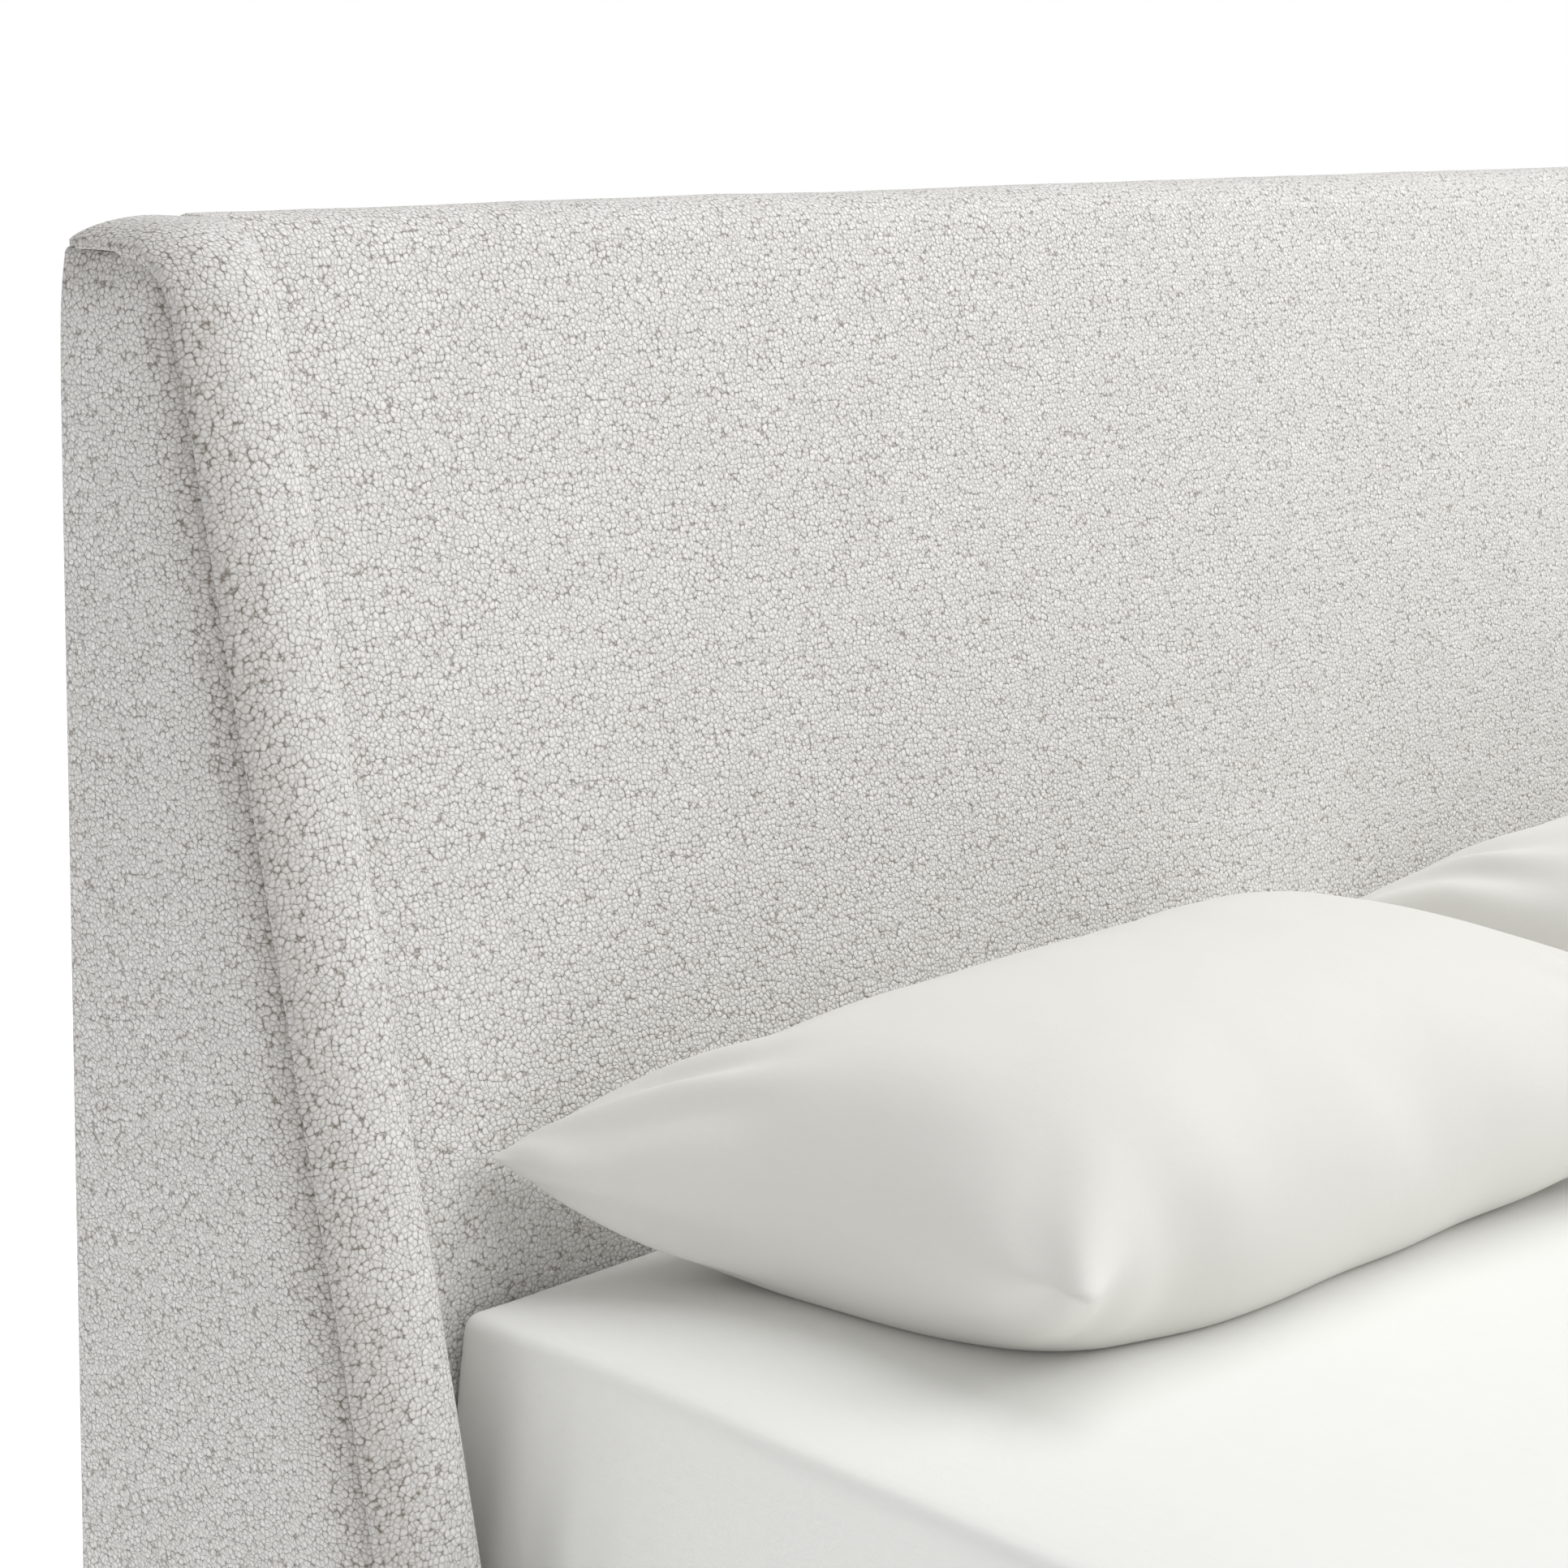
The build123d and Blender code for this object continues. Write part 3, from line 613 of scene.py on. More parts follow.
def rail_cover(name, node, top_radius, corner_radius=0):
    low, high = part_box(node)
    long_axis = 1 if high.y - low.y > high.x - low.x else 0
    across = 1 - long_axis
    bevels = [(lambda a, b: min(a.z, b.z) > high.z - MM, top_radius, 5),
              (lambda a, b: max(a.z, b.z) < low.z + MM, 4 * MM, 2)]
    if corner_radius:
        upright = (lambda a, b: abs(a.z - b.z) > 0.1 and a.y < low.y + MM, corner_radius, 6)
        bevels.insert(0, upright)
    length = high[long_axis] - low[long_axis]
    cuts = [(long_axis, low[long_axis] + RAIL_CUT * k) for k in range(1, int(length / RAIL_CUT))]
    cuts += [(2, low.z + (high.z - low.z) * k / RAIL_HEIGHT_CUTS)
             for k in range(1, RAIL_HEIGHT_CUTS)]
    obj = bevelled_box(name, low, high, bevels, cuts)
    co = points_of(obj)
    for p in co:
        face = 1 if p[across] > (low[across] + high[across]) / 2 else -1
        p[across] += face * soft_noise(p, 0.12, 0.6 * MM)
    set_points(obj, co)
    smooth(obj, 50)
    return report(obj)


side_rail_left = rail_cover("side_rail_boucle_left", "side_rail_cover_left", 10 * MM)
side_rail_right = rail_cover("side_rail_boucle_right", "side_rail_cover_right", 10 * MM)
foot_rail = rail_cover("foot_rail_boucle", "foot_rail_cover", 10 * MM, 16 * MM)

# %% [markdown]
# ## The fitted sheet
#
# A fitted sheet is a flat cloth with sewn corners and elastic in its hem. It lies tight on the
# mattress, so its corners are nearly square and its edges are soft. A cube is scaled to the
# mattress, its edges are bevelled and it is cut into small squares, and then it is shaped: the
# top is fuller in the middle, the edges are a little wavy, and folds run down from the corners
# where the elastic gathers the cloth.

# %% Fitted sheet
SHEET_CLOTH = 1.2 * MM
SHEET_CUT = 26 * MM
SIDE_CUT = 15 * MM
SHEET_EDGE = 20 * MM         # this close to a side, a point belongs to the side
CORNER_REACH = 0.12          # folds reach this far from a corner
HEM = 150 * MM


def sheet_cloth():
    low, high = sheet_low, sheet_high
    bevels = (
        (lambda a, b: abs(a.z - b.z) > 0.1, 10 * MM, 4),
        (lambda a, b: min(a.z, b.z) > high.z - MM, 9 * MM, 3),
        (lambda a, b: max(a.z, b.z) < low.z + MM, 9 * MM, 2))
    cuts = []
    for axis, spacing in enumerate((SHEET_CUT, SHEET_CUT, SIDE_CUT)):
        for k in range(1, int((high[axis] - low[axis]) / spacing)):
            cuts.append((axis, low[axis] + spacing * (k + 0.4)))
    obj = bevelled_box("fitted_sheet_cloth", low, high, bevels, cuts)
    return modified(obj, "SUBSURF", levels=1, render_levels=1)


def sheet_shape(obj):
    low, high = np.array(sheet_low), np.array(sheet_high)
    co = points_of(obj)
    half = (high - low) / 2
    middle = (high + low) / 2
    shaped = co.copy()
    for i, p in enumerate(co):
        edge_x = half[0] - abs(p[0] - middle[0])
        edge_y = half[1] - abs(p[1] - middle[1])
        up = (p[2] - low[2]) / (high[2] - low[2])
        near = min(edge_x, edge_y)
        corner = math.exp(-(edge_x ** 2 + edge_y ** 2) / CORNER_REACH ** 2)
        if up > 0.9:
            shaped[i, 2] += 4 * MM * (1 - math.exp(-near / 0.10)) - 3 * MM * math.exp(-near / 0.03)
            shaped[i, 2] += soft_noise((p[0], p[1], 0), 0.12, 3.0 * MM) * math.exp(-near / 0.2)
            shaped[i, 2] += soft_noise((p[0], p[1], 3), 0.33, 1.6 * MM)
        if near < SHEET_EDGE:
            on_side = np.array([edge_x, edge_y]) < SHEET_EDGE
            push = np.sign(p[:2] - middle[:2]) * on_side
            along = p[0] * on_side[1] + p[1] * on_side[0]
            fold = math.sin(along * 150 + 4 * noise.noise((p[0] * 12, p[1] * 12, up)))
            fall = min(1, 2.2 * (1 - up))
            amount = corner * fall * (1.0 + fold) * 3.8 * MM
            amount += (soft_noise((p[0], p[1], p[2] * 0.3), 0.09, 2 * MM) + MM) * 4 * up * (1 - up)
            shaped[i, :2] += push * amount
    set_points(obj, shaped)
    return obj


sheet = sheet_shape(sheet_cloth())
pick(sheet)
bpy.ops.object.mode_set(mode="EDIT")


def inside_the_hem(face):
    middle = face.calc_center_median()
    return (face.normal.z < -0.5 and middle.z < sheet_low.z + 5 * MM
            and abs(middle.x) < sheet_high.x - HEM
            and sheet_low.y + HEM < middle.y < sheet_high.y - HEM)


select_where(sheet, "FACE", inside_the_hem)
bpy.ops.mesh.delete(type="FACE")
bpy.ops.object.mode_set(mode="OBJECT")
thick(sheet, SHEET_CLOTH)
smooth(sheet)
report(sheet)

# %% [markdown]
# ## The pillows
#
# A pillowcase is two flat pieces of cloth sewn round their edges. Filled, it cannot stay a
# rectangle: its middle rises, its sides pull in and its corners stay as ears, with wrinkles that
# run out of them. That is just what a cloth simulation with pressure does to a flat bag, so the
# bag is made flat and blown up, and then it is pressed down to the height of a pillow in use.
# Each pillow gets its own small unevenness at the start, so that no two have the same wrinkles.

# %% Blow up a flat bag
CASE_LENGTH, CASE_DEPTH = 740 * MM, 440 * MM
PILLOW_GRID = 12 * MM
BAG_GAP = 3 * MM             # between the two layers of the flat bag
PRESSURE = 8
BLOW_FRAMES = 40


def in_fixed_order(obj):
    """Rebuild the mesh with its faces sorted.

    An extrusion adds its faces in an order that changes from run to run. The simulation takes
    its springs in that order, so without this no two runs would have the same wrinkles.
    """
    faces = []
    for polygon in obj.data.polygons:
        corners = list(polygon.vertices)
        start = corners.index(min(corners))
        faces.append(corners[start:] + corners[:start])
    old, mesh = obj.data, bpy.data.meshes.new(obj.name)
    mesh.from_pydata(points_of(obj).tolist(), [], sorted(faces))
    obj.data = mesh
    bpy.data.meshes.remove(old)
    mesh.name = obj.name
    return obj


def flat_bag(name, seed):
    columns, rows = round(CASE_LENGTH / PILLOW_GRID), round(CASE_DEPTH / PILLOW_GRID)
    bpy.ops.mesh.primitive_grid_add(x_subdivisions=columns, y_subdivisions=rows, size=1)
    obj = added(name)
    obj.scale = (CASE_LENGTH, CASE_DEPTH, 1)
    fix_place(obj)
    bpy.ops.object.mode_set(mode="EDIT")
    bpy.ops.mesh.select_all(action="SELECT")
    bpy.ops.mesh.extrude_region_move(TRANSFORM_OT_translate={"value": (0, 0, BAG_GAP)})
    bpy.ops.mesh.select_all(action="SELECT")
    bpy.ops.mesh.normals_make_consistent(inside=False)
    bpy.ops.object.mode_set(mode="OBJECT")
    co = points_of(obj)
    for p in co:
        p[2] += soft_noise((p[0], p[1], p[2] + seed), 0.09, 3 * MM)
    set_points(obj, co)
    return in_fixed_order(obj)


def blow_up(obj):
    """Cloth with pressure and no gravity, run step by step and then applied."""
    pick(obj)
    cloth = obj.modifiers.new("cloth", "CLOTH")
    settings = {"quality": 7, "mass": 0.25, "tension_stiffness": 120,
                "compression_stiffness": 20, "shear_stiffness": 8, "bending_stiffness": 3.0,
                "use_pressure": True, "uniform_pressure_force": PRESSURE, "air_damping": 4}
    for name, value in settings.items():
        setattr(cloth.settings, name, value)
    cloth.settings.effector_weights.gravity = 0
    cloth.collision_settings.use_collision = False
    cloth.point_cache.frame_end = BLOW_FRAMES
    scene = bpy.context.scene
    for step in range(1, BLOW_FRAMES + 1):
        scene.frame_set(step)
    bpy.ops.object.modifier_apply(modifier=cloth.name)
    scene.frame_set(1)
    return obj


# %% [markdown]
# The blown-up bag is laid on the mattress. Its height is set by how full the pillow is, and the
# side that it rests on is pressed flat.

# %% Lay the pillows on the mattress
REST_Z = MATTRESS_TOP_Z + 1.5 * MM
TUCK = 80 * MM               # one front corner is pushed in, the others stay as ears
SEAT = 0.3                   # this share of the lower half is pressed flat
INSERT_GAP = 6 * MM          # the pillow inside is this much smaller all round
CREASE_REACH = 0.26          # creases end this far from a corner


def laid(obj, node, height, tucked):
    """Give the bag its size in use; tucked is the side, -1 or 1, of the corner pushed in."""
    low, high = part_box(node)
    size = high - low
    co = points_of(obj)
    co -= (co.max(0) + co.min(0)) / 2
    co *= np.array([size.x, size.y, 2]) / (co.max(0) - co.min(0))
    co[:, 2] = np.sign(co[:, 2]) * abs(co[:, 2]) ** 0.9
    half = height / (2 - SEAT)
    flat = -(1 - SEAT)
    below = co[:, 2] < flat
    co[below, 2] = flat + (co[below, 2] - flat) * 0.06
    co[:, 2] *= half
    near_end = np.exp(-((co[:, 0] * tucked - size.x / 2) / 0.17) ** 2)
    forward = np.clip(0.5 - co[:, 1] / size.y, 0, 1) ** 1.5
    co[:, 0] -= tucked * TUCK * near_end * forward
    co[:, 1] += 0.8 * TUCK * near_end * forward
    co += ((low.x + high.x) / 2, (low.y + high.y) / 2, REST_Z - co[:, 2].min())
    set_points(obj, co)
    return obj


def ironed(obj):
    """Smooth the body of the bag, but leave its four corners as they are."""
    co = points_of(obj)
    span = co.max(0) - co.min(0)
    centre = (co.max(0) + co.min(0)) / 2
    body = obj.vertex_groups.new(name="body")
    for i, p in enumerate(co):
        from_corner = np.linalg.norm(span[:2] / 2 - abs(p[:2] - centre[:2]))
        body.add([i], min(1, (from_corner / 0.15) ** 2), "REPLACE")
    return modified(obj, "SMOOTH", factor=0.5, iterations=60, vertex_group="body")


def creased(obj, seed):
    """Fine wrinkles that run out from the corners, and a slight unevenness all over."""
    co = points_of(obj)
    normals = np.empty(len(co) * 3)
    obj.data.vertices.foreach_get("normal", normals)
    normals = normals.reshape(-1, 3)
    middle, half = (co.max(0) + co.min(0)) / 2, (co.max(0) - co.min(0)) / 2
    for i, p in enumerate(co):
        side = np.sign(p[:2] - middle[:2])
        reach = half[:2] - abs(p[:2] - middle[:2])
        far = math.hypot(*reach)
        lift = soft_noise(p + seed, 0.13, 3 * MM) + soft_noise(p - seed, 0.04, 0.7 * MM)
        if far < CREASE_REACH:
            angle = math.atan2(reach[1] + 0.35 * (p[2] - REST_Z), reach[0]) + 0.5 * side[0]
            wave = math.sin(24 * angle + 4 * noise.noise(Vector(p + seed) * 9))
            lift += 3.8 * MM * wave * math.exp(-((far - 0.1) / 0.055) ** 2)
        lift *= min(1, (p[2] - REST_Z) / 0.04 + 0.1)
        co[i] += normals[i] * lift
    set_points(obj, co)
    return obj


def pillow_pair(side, seed, height, tucked):
    """A filled case and the pillow inside it, a little smaller all round."""
    case = flat_bag(f"pillow_{side}_case", seed)
    blow_up(case)
    ironed(case)
    laid(case, f"pillowcase_{side}", height, tucked)
    insert = own_copy(case, f"pillow_{side}_insert")
    modified(insert, "SUBSURF", levels=1, render_levels=1)
    modified(insert, "DISPLACE", strength=-INSERT_GAP, mid_level=0)
    smooth(insert)
    modified(case, "SUBSURF", levels=2, render_levels=2)
    smooth(creased(case, seed))
    return report(case), report(insert)


pillow_left, insert_left = pillow_pair("left", 0.0, 168 * MM, -1)
pillow_right, insert_right = pillow_pair("right", 2.7, 158 * MM, 1)

# %% [markdown]
# ## Shader maths
#
# A material here is a small sum: how far is this point from the middle of its knob, how much
# darker is the gap, how high is the fibre. The class below wraps a shader socket, so that such a
# sum is written with + and * and the Math nodes add themselves.


# %% A socket that can be calculated with
class Sum:
    """One value in a material's node tree."""

    def __init__(self, tree, socket):
        self.tree, self.socket = tree, socket

    def maths(self, operation, *values):
        return self.tree.node("ShaderNodeMath", {"operation": operation}, values)

    def __add__(self, other):
        return self.maths("ADD", self, other)

    def __sub__(self, other):
        return self.maths("SUBTRACT", self, other)

    def __rsub__(self, other):
        return self.maths("SUBTRACT", other, self)

    def __mul__(self, other):
        return self.maths("MULTIPLY", self, other)

    def __truediv__(self, other):
        return self.maths("DIVIDE", self, other)

    def __pow__(self, other):
        return self.maths("POWER", self, other)

    __radd__, __rmul__ = __add__, __mul__

    def step(self, start, end, low=0, high=1):
        """Runs smoothly from low to high while this value runs from start to end."""
        settings = {"interpolation_type": "SMOOTHSTEP"}
        return self.tree.node("ShaderNodeMapRange", settings, (self, start, end, low, high))


class Finish:
    """One material: its nodes, its Principled shader and what feeds them."""

    def __init__(self, name, **constants):
        self.material = bpy.data.materials.new(name)
        self.material.use_nodes = True
        self.nodes = self.material.node_tree.nodes
        self.links = self.material.node_tree.links
        self.shader = self.nodes["Principled BSDF"]
        for socket, value in constants.items():
            self.shader.inputs[socket.replace("_", " ")].default_value = value
        self.place = self.node("ShaderNodeTexCoord", {}, (), "Object")

    def node(self, kind, settings, values, output=0):
        node = self.nodes.new(kind)
        for name, value in settings.items():
            setattr(node, name, value)
        pairs = values.items() if isinstance(values, dict) else enumerate(values)
        for key, value in pairs:
            if isinstance(value, Sum):
                self.links.new(value.socket, node.inputs[key])
            else:
                node.inputs[key].default_value = value
        return Sum(self, node.outputs[output])

    def scaled(self, x, y, z, place=None):
        settings = {"vector_type": "POINT"}
        values = {"Vector": place or self.place, "Scale": (x, y, z)}
        return self.node("ShaderNodeMapping", settings, values)

    def noise(self, scale, detail=2.0, rough=0.5, place=None, output=0):
        values = {"Vector": place or self.place, "Scale": scale, "Detail": detail,
                  "Roughness": rough}
        return self.node("ShaderNodeTexNoise", {}, values, output)

    def cells(self, scale, output="Distance", feature="F1", scatter=1.0, place=None):
        values = {"Vector": place or self.place, "Scale": scale, "Randomness": scatter}
        return self.node("ShaderNodeTexVoronoi", {"feature": feature}, values, output)

    def mix(self, amount, a, b):
        """From colour a to colour b."""
        node = self.nodes.new("ShaderNodeMix")
        node.data_type = "RGBA"
        for socket, value in ((node.inputs[0], amount), (node.inputs[6], a), (node.inputs[7], b)):
            if isinstance(value, Sum):
                self.links.new(value.socket, socket)
            else:
                socket.default_value = value
        return Sum(self, node.outputs[2])

    def feed(self, socket, value):
        self.links.new(value.socket, self.shader.inputs[socket])
        return self

    def bump(self, height, distance, strength=1.0):
        values = {"Height": height, "Distance": distance, "Strength": strength}
        return self.feed("Normal", self.node("ShaderNodeBump", {}, values))


def srgb(r, g, b):
    """A colour given as it looks on a screen, 0 to 255."""
    def linear(c):
        c /= 255
        return c / 12.92 if c <= 0.04045 else ((c + 0.055) / 1.055) ** 2.4
    return (linear(r), linear(g), linear(b), 1)


def darker(colour, share):
    return tuple(c * share for c in colour[:3]) + (1,)


# %% [markdown]
# ## Boucle
#
# Boucle is woven from a looped yarn, so its surface is a carpet of small round knobs, about 3 mm
# across, that lie in loose rows. Cells round scattered points (a Voronoi texture) have that look:
# each cell is a knob, and the pits are where three of them meet. The points are pushed about by
# noise so that no knob is a perfect cell, and a second noise closes about half of the pits,
# because neighbouring loops often lie tight together. A fine noise on top is the fibre.

# %% Boucle
KNOB = 3.1 * MM
KNOB_WANDER = 3.4 * MM       # how far the knobs are pushed about
BOUCLE_BUMP = 1.4 * MM
YARN_DARK, YARN_LIGHT = (219, 217, 212), (250, 249, 247)
# YARN_IN_SHADE is painted shade: the yarn's colour along the seams and in the crease beside the
# face.
YARN_IN_SHADE, PIT = (166, 160, 152), (126, 116, 105)


def boucle(name):
    finish = Finish(name, Roughness=0.95, Sheen_Weight=0.35, Sheen_Roughness=0.6,
                    Specular_IOR_Level=0.15)
    wander = finish.noise(130, 1.0, output="Color")
    centred = finish.node("ShaderNodeVectorMath", {"operation": "SUBTRACT"},
                          (wander, (0.5, 0.5, 0.5)))
    shift = finish.node("ShaderNodeVectorMath", {"operation": "SCALE"},
                        {0: centred, "Scale": KNOB_WANDER})
    warped = finish.node("ShaderNodeVectorMath", {"operation": "ADD"}, (finish.place, shift))
    gap = finish.cells(1 / KNOB, 0, "DISTANCE_TO_EDGE", 0.85, warped)
    middle = finish.cells(1 / KNOB, scatter=0.85, place=warped)
    tone = finish.cells(1 / KNOB, "Color", scatter=0.85, place=warped)
    tone = finish.node("ShaderNodeSeparateColor", {}, (tone,))
    knob = gap.step(0.0, 0.18)
    fibre = finish.noise(1400, 2.0, 0.6)
    loft = finish.noise(30, 3.0)
    loose = finish.noise(560, 1.0).step(0.34, 0.58)
    pit = middle.step(0.52, 0.84) * 0.75 + (1 - gap.step(0.0, 0.08)) * 0.2
    dome = 1 - middle ** 2.0 * 1.1
    yarn = finish.mix(tone * 0.45 + fibre * 0.2 + loft * 0.35, srgb(*YARN_DARK),
                      srgb(*YARN_LIGHT))
    # Painted shade: the attribute darkens the yarn and opens more dark pits along the seams and in
    # the crease beside the face.
    seam_shade = finish.node("ShaderNodeAttribute", {"attribute_name": "painted_seam_shade"}, (), "Fac")
    yarn = finish.mix(seam_shade * 0.4, yarn, srgb(*YARN_IN_SHADE))
    pit = pit * (loose * 0.75 + 0.1 + seam_shade * 0.3)
    finish.feed("Base Color", finish.mix(pit, yarn, srgb(*PIT)))
    finish.bump(knob * 0.3 + dome * 0.7 + fibre * 0.12 + tone * 0.35, BOUCLE_BUMP, 0.9)
    return finish.material


boucle_cloth = boucle("boucle_upholstery")
print("knobs of", round(KNOB * 1000, 1), "mm")

# %% [markdown]
# ## Cotton
#
# The bed linen is a plain cotton: so fine that only a trace of the weave shows, over broad soft
# unevenness where the cloth has been washed and pressed.


# %% Cotton, ticking and lining
def cotton(name, colour, crumple=0.35, thread=0.45 * MM):
    finish = Finish(name, Roughness=0.85, Sheen_Weight=0.2, Sheen_Roughness=0.5,
                    Specular_IOR_Level=0.2)
    along = finish.scaled(1 / thread, 1 / thread, 1 / thread)
    weave = finish.node("ShaderNodeTexChecker", {}, {"Vector": along, "Scale": 1.0}, "Fac")
    slub = finish.noise(500, 2.0, place=finish.scaled(1, 0.12, 1))
    cloud = finish.noise(7, 3.0)
    finish.feed("Base Color", finish.mix(cloud * 0.6 + slub * 0.4, darker(colour, 0.93), colour))
    finish.feed("Roughness", slub * 0.1 + 0.78)
    crease = finish.noise(22, 3.0, 0.55)
    finish.bump(weave * 0.05 + slub * 0.12 + crease * crumple * 4, 1.0 * MM, 0.55)
    return finish.material


sheet_cloth_finish = cotton("sheet_cotton", srgb(251, 251, 248), 0.3)
case_cloth_finish = cotton("pillowcase_cotton", srgb(238, 237, 232), 0.3)
filling_finish = cotton("pillow_filling", srgb(240, 239, 234), 0.6)
lining_finish = cotton("back_cloth", srgb(96, 94, 92), 0.2, 1.1 * MM)
tape_finish = cotton("slat_tape", srgb(225, 221, 210), 0.1, 0.8 * MM)


def ticking():
    finish = Finish("mattress_ticking", Roughness=0.8, Sheen_Weight=0.15)
    quilt = finish.cells(14, feature="SMOOTH_F1", scatter=0.25)
    knit = finish.noise(900, 1.0)
    finish.feed("Base Color", finish.mix(quilt * 0.8 + knit * 0.2, srgb(241, 239, 234),
                                         srgb(219, 216, 208)))
    finish.bump(1 - quilt + knit * 0.05, 5 * MM, 0.6)
    return finish.material


ticking_finish = ticking()

# %% [markdown]
# ## Timber
#
# Solid timber shows the tree's growth rings. Rings seen along the board are long stripes, so a
# wave texture is stretched along the grain and bent by noise; boards in different directions
# need the grain turned with them. Plywood shows flat figure on its face and thin layers on its
# edges.


# %% Pine, oak and plywood
def timber(name, grain, light, dark, ring=16 * MM, rough=0.55):
    """grain is the axis, 0 to 2, that the boards run along."""
    finish = Finish(name, Specular_IOR_Level=0.35)
    stretch = [1.0, 1.0, 1.0]
    stretch[grain] = 0.06
    along = finish.scaled(*stretch)
    bend = finish.noise(9, 2.0, place=along)
    wave = finish.node("ShaderNodeTexNoise", {}, {
        "Vector": along, "Scale": 1 / ring, "Detail": 3.0, "Distortion": 1.2})
    rings = wave.step(0.35, 0.65)
    pores = finish.noise(900, 2.0, place=along)
    knots = finish.cells(1.7, place=finish.scaled(*[0.5 + 2 * s for s in stretch]))
    knot = knots.step(0.05, 0.02)
    colour = finish.mix(rings * 0.6 + bend * 0.25 + pores * 0.15, light, dark)
    colour = finish.mix(knot * 0.6, colour, darker(dark, 0.4))
    finish.feed("Base Color", colour)
    finish.feed("Roughness", pores * 0.2 + (rough - 0.1))
    finish.bump(pores * 0.5 + rings * 0.3, 0.3 * MM, 0.5)
    return finish.material


PINE = srgb(226, 200, 156), srgb(199, 160, 108)
pine = {axis: timber(f"frame_pine_{axis}", k, *PINE) for k, axis in enumerate("xyz")}
slat_pine = timber("slat_pine_x", 0, srgb(233, 212, 174), srgb(209, 177, 128))
oak = timber("leg_oak", 2, srgb(186, 148, 104), srgb(141, 102, 64), 7 * MM, 0.42)
birch = timber("plywood_face", 2, srgb(224, 200, 162), srgb(202, 170, 126), 30 * MM)


PLY = 1.5 * MM


def edged_plywood():
    finish = Finish("plywood", Specular_IOR_Level=0.3)
    x = finish.node("ShaderNodeSeparateXYZ", {}, (finish.place,), "X")
    layer = finish.node("ShaderNodeMath", {"operation": "PINGPONG"}, (x, PLY)) / PLY
    wavy = finish.noise(30, 3.0, place=finish.scaled(1, 1, 0.1))
    grain = finish.noise(700, 2.0, place=finish.scaled(1, 1, 0.08))
    colour = finish.mix(layer.step(0.3, 0.7) * 0.6 + wavy * 0.25 + grain * 0.15,
                        srgb(222, 197, 157), srgb(186, 150, 105))
    finish.feed("Base Color", colour)
    finish.feed("Roughness", grain * 0.2 + 0.5)
    finish.bump(grain + layer * 0.3, 0.25 * MM, 0.5)
    return finish.material


plywood_finish = edged_plywood()

# %% [markdown]
# ## Foam, metal and nylon
#
# Upholstery foam is an open sponge, wadding is a loose fleece. The brackets and the tubes of the
# support legs are powder coated, the screws are zinc plated, and the feet are moulded nylon.


# %% Foam, wadding, metal and nylon
def sponge(name, light, dark, cell, rough=0.95):
    finish = Finish(name, Specular_IOR_Level=0.1, Roughness=rough)
    pore = finish.cells(1 / cell)
    cloud = finish.noise(12, 3.0)
    finish.feed("Base Color", finish.mix(pore * 0.7 + cloud * 0.3, light, dark))
    finish.bump(1 - pore, 0.6 * MM, 0.6)
    return finish.material


foam_finish = sponge("foam", srgb(238, 226, 190), srgb(206, 188, 142), 2.2 * MM)
wadding_finish = sponge("wadding", srgb(246, 246, 244), srgb(222, 222, 220), 6 * MM)


def metal(name, colour, rough, grain=900, shine=1.0, coat=0.0):
    finish = Finish(name, Metallic=shine, Coat_Weight=coat, Coat_Roughness=0.3)
    speck = finish.noise(grain, 2.0)
    cloud = finish.noise(25, 3.0)
    finish.feed("Base Color", finish.mix(speck * 0.5 + cloud * 0.5, darker(colour, 0.8), colour))
    finish.feed("Roughness", cloud * 0.15 + speck * 0.1 + (rough - 0.1))
    finish.bump(speck, 0.1 * MM, 0.35)
    return finish.material


zinc_finish = metal("zinc_fasteners", srgb(200, 201, 203), 0.35)
plated_finish = metal("plated_steel", srgb(188, 190, 194), 0.4, 300)
black_steel_finish = metal("black_steel", srgb(36, 36, 38), 0.5, 1400, 0.0, 0.1)
nylon_finish = metal("black_nylon", srgb(30, 30, 31), 0.6, 1800, 0.0)

# %% [markdown]
# ## Give every piece its finish
#
# The covers get the boucle, the linen gets the cotton, and each piece of the frame gets the
# finish of its material slot. Boards take the pine whose grain runs the way the board does.

# %% Finishes by material slot
FINISHES = {
    "boucle_upholstery": boucle_cloth, "back_cloth": lining_finish, "foam": foam_finish,
    "wadding": wadding_finish, "plywood": plywood_finish, "slat_pine": slat_pine,
    "slat_tape": tape_finish, "leg_oak": oak, "plated_steel": plated_finish,
    "zinc_fasteners": zinc_finish, "black_steel": black_steel_finish,
    "black_nylon": nylon_finish, "sheet_cotton": sheet_cloth_finish,
    "pillowcase_cotton": case_cloth_finish, "pillow_filling": filling_finish,
    "mattress_ticking": ticking_finish,
}


def dress(obj, material):
    obj.data.materials.clear()
    obj.data.materials.append(material)


for part in frame["record"]["subparts"]:
    name, slot_name = part["node"], part["material_slot"]
    if slot_name == "frame_pine":
        low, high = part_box(name)
        dress(frame["nodes"][name], pine["xyz"[max(range(3), key=lambda k: high[k] - low[k])]])
    else:
        dress(frame["nodes"][name], FINISHES[slot_name])
for name in ("face_board_lower", "face_board_upper"):
    dress(frame["nodes"][name], birch)
print("finishes on", len(frame["nodes"]), "frame pieces")

# %% [markdown]
# ## Join the new pieces to the frame
#
# Each new piece says which piece of the frame it stands for, what it moves with, which finish
# slot it belongs to and how full its box is. The sheet is a cloth with a flat size instead.

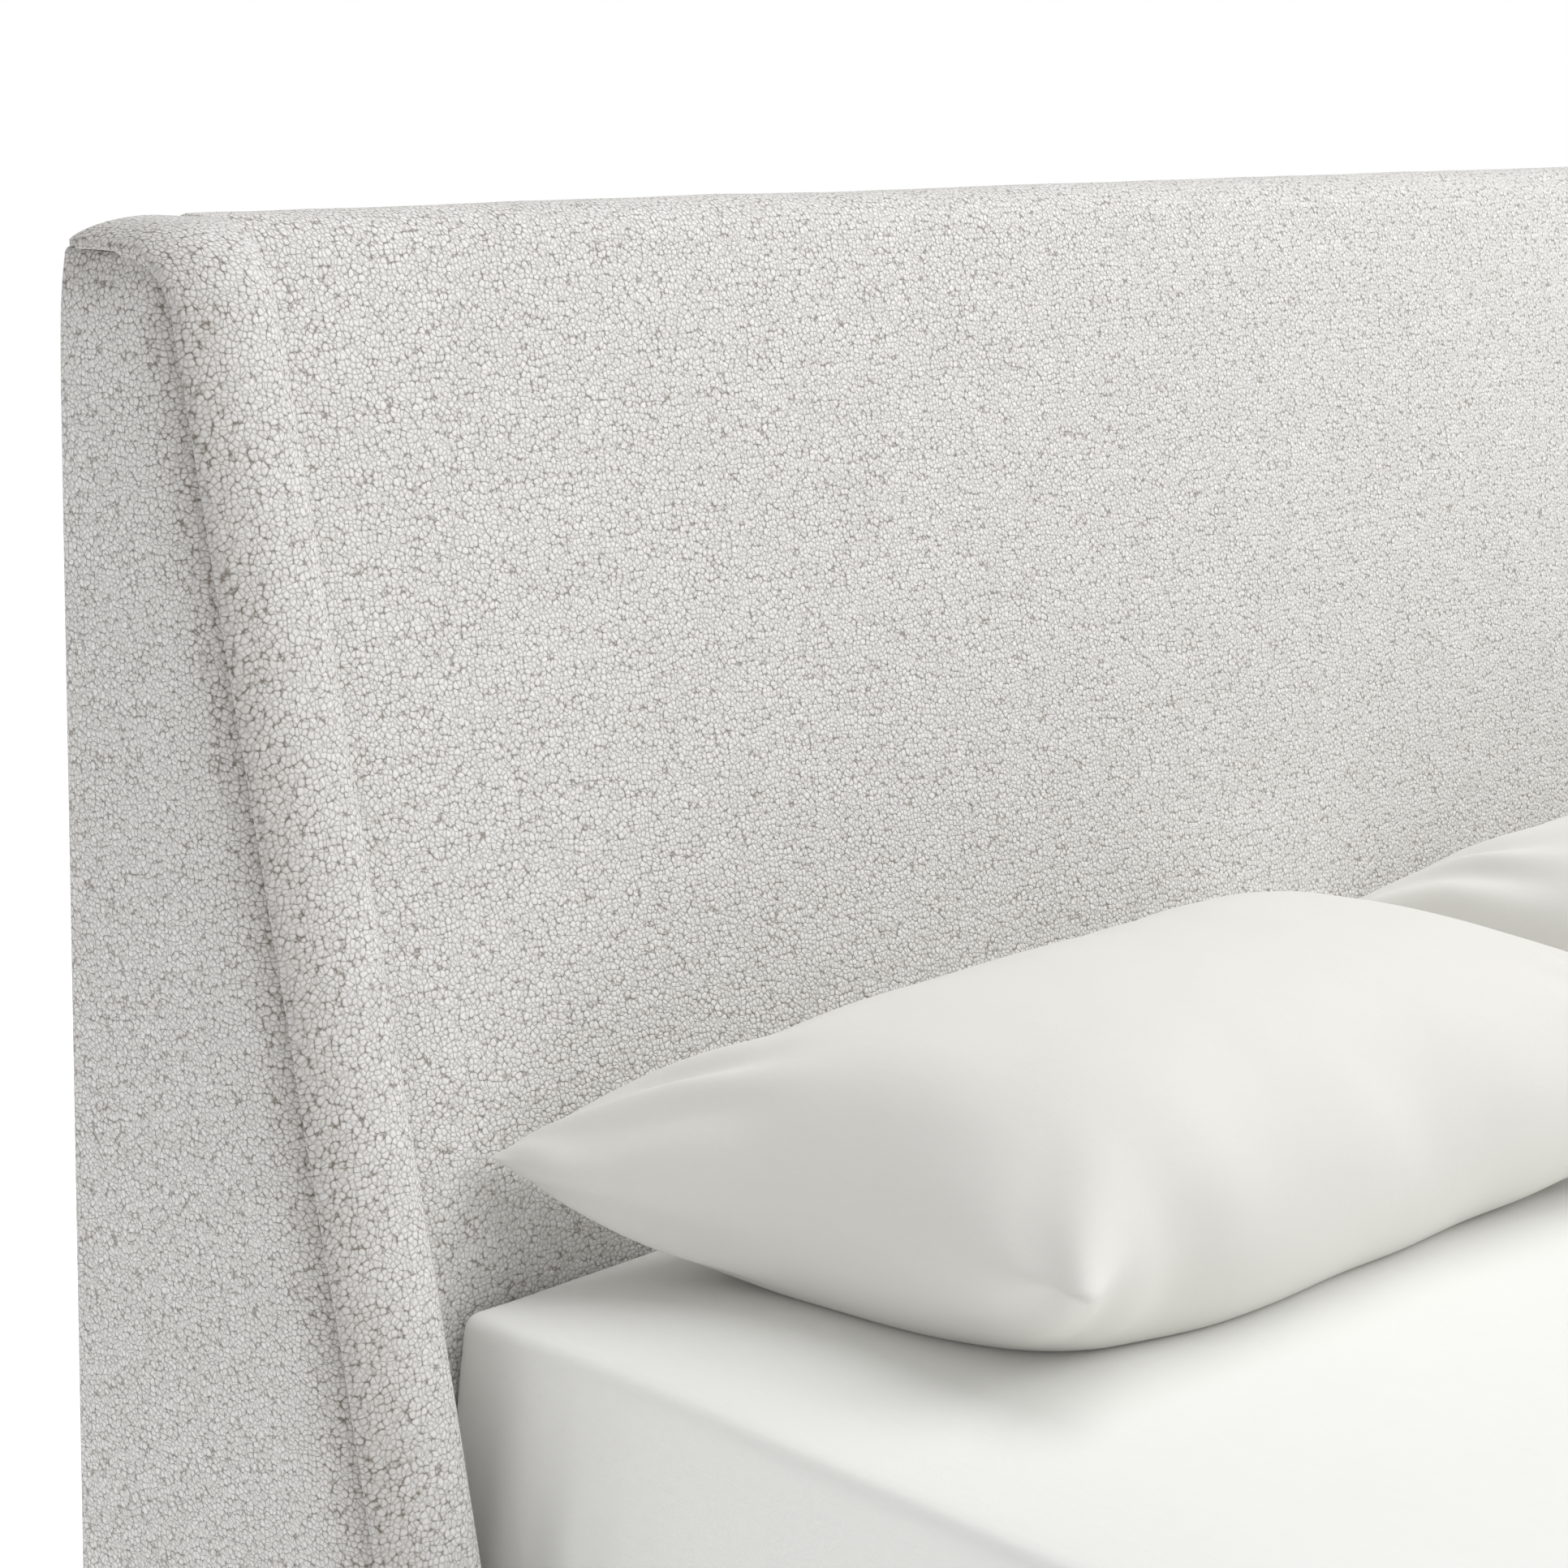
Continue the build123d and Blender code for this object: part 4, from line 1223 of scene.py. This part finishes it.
# %% Riding, replacing, slots
BOUCLE = ("bed_frame", "boucle_upholstery")
NEW_PIECES = [
    (cover, "headboard_cover", *BOUCLE, 0.9),
    (panel, "wing_cover_left", *BOUCLE, 0.9),
    (panel_right, "wing_cover_right", *BOUCLE, 0.9),
    (side_rail_left, "side_rail_cover_left", *BOUCLE, 0.95),
    (side_rail_right, "side_rail_cover_right", *BOUCLE, 0.95),
    (foot_rail, "foot_rail_cover", *BOUCLE, 0.95),
    (sheet, "fitted_sheet", "mattress", "sheet_cotton", None),
    (pillow_left, "pillowcase_left", "pillow_left", "pillowcase_cotton", 0.75),
    (pillow_right, "pillowcase_right", "pillow_right", "pillowcase_cotton", 0.75),
    (insert_left, "pillow_insert_left", "pillow_left", "pillow_filling", 0.75),
    (insert_right, "pillow_insert_right", "pillow_right", "pillow_filling", 0.75),
]
for piece, node, body, slot_name, fill in NEW_PIECES:
    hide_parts(node)
    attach(piece, body)
    dress(piece, FINISHES[slot_name])

side_cloth = sheet_high.z - sheet_low.z + HEM
flat_size = (sheet_high.x - sheet_low.x + 2 * side_cloth,
             sheet_high.y - sheet_low.y + 2 * side_cloth)
flat_size[0] * flat_size[1] - 4 * side_cloth ** 2
print("sheet cut", [round(v, 3) for v in flat_size])

# %% [markdown]
# ## Floor and light
#
# The bed stands on a plain white floor in a white room. One very large soft light stands at the
# front right and a second one above, so the shadows are wide and pale and fall to the left.

# %% Floor, world and lamps
FLOOR_RADIUS = 6
FLOOR_GLOW = 0.5             # keeps the floor as white as the room behind it
ROOM_LIGHT = 0.52
bpy.ops.mesh.primitive_circle_add(vertices=96, radius=FLOOR_RADIUS, fill_type="NGON")
floor = added("studio_floor")
floor_finish = Finish("studio_floor", Roughness=0.9, Specular_IOR_Level=0.1,
                      Emission_Color=(1, 1, 1, 1), Emission_Strength=FLOOR_GLOW)
floor_finish.feed("Base Color", floor_finish.mix(floor_finish.noise(3), srgb(246, 246, 246),
                                                 srgb(248, 248, 248)))
dress(floor, floor_finish.material)

world = bpy.data.worlds.new("white_room")
bpy.context.scene.world = world
world.use_nodes = True
nodes, links = world.node_tree.nodes, world.node_tree.links
seen, lighting = nodes["Background"], nodes.new("ShaderNodeBackground")
seen.inputs["Color"].default_value = (1, 1, 1, 1)
seen.inputs["Strength"].default_value = 1.0
lighting.inputs["Color"].default_value = (1, 1, 1, 1)
lighting.inputs["Strength"].default_value = ROOM_LIGHT
by_camera, ray = nodes.new("ShaderNodeMixShader"), nodes.new("ShaderNodeLightPath")
links.new(ray.outputs["Is Camera Ray"], by_camera.inputs[0])
links.new(lighting.outputs[0], by_camera.inputs[1])
links.new(seen.outputs[0], by_camera.inputs[2])
links.new(by_camera.outputs[0], nodes["World Output"].inputs[0])


def soft_lamp(name, place, target, size, power):
    lamp = bpy.data.lights.new(name, "AREA")
    lamp.shape, lamp.size, lamp.energy = "DISK", size, power
    obj = bpy.data.objects.new(name, lamp)
    bpy.context.scene.collection.objects.link(obj)
    aim = (Vector(target) - Vector(place)).to_track_quat("-Z", "Y").to_matrix().to_4x4()
    obj.matrix_world = Matrix.Translation(place) @ aim
    return obj


soft_lamp("key_light", (2.6, -2.2, 3.4), (-0.2, 0.6, 0.7), 2.6, 75)
soft_lamp("top_light", (0.4, 0.2, 4.2), (-0.2, 0.4, 0.6), 3.0, 55)
bpy.context.scene.view_settings.view_transform = "Standard"
bpy.context.scene.view_settings.look = "None"
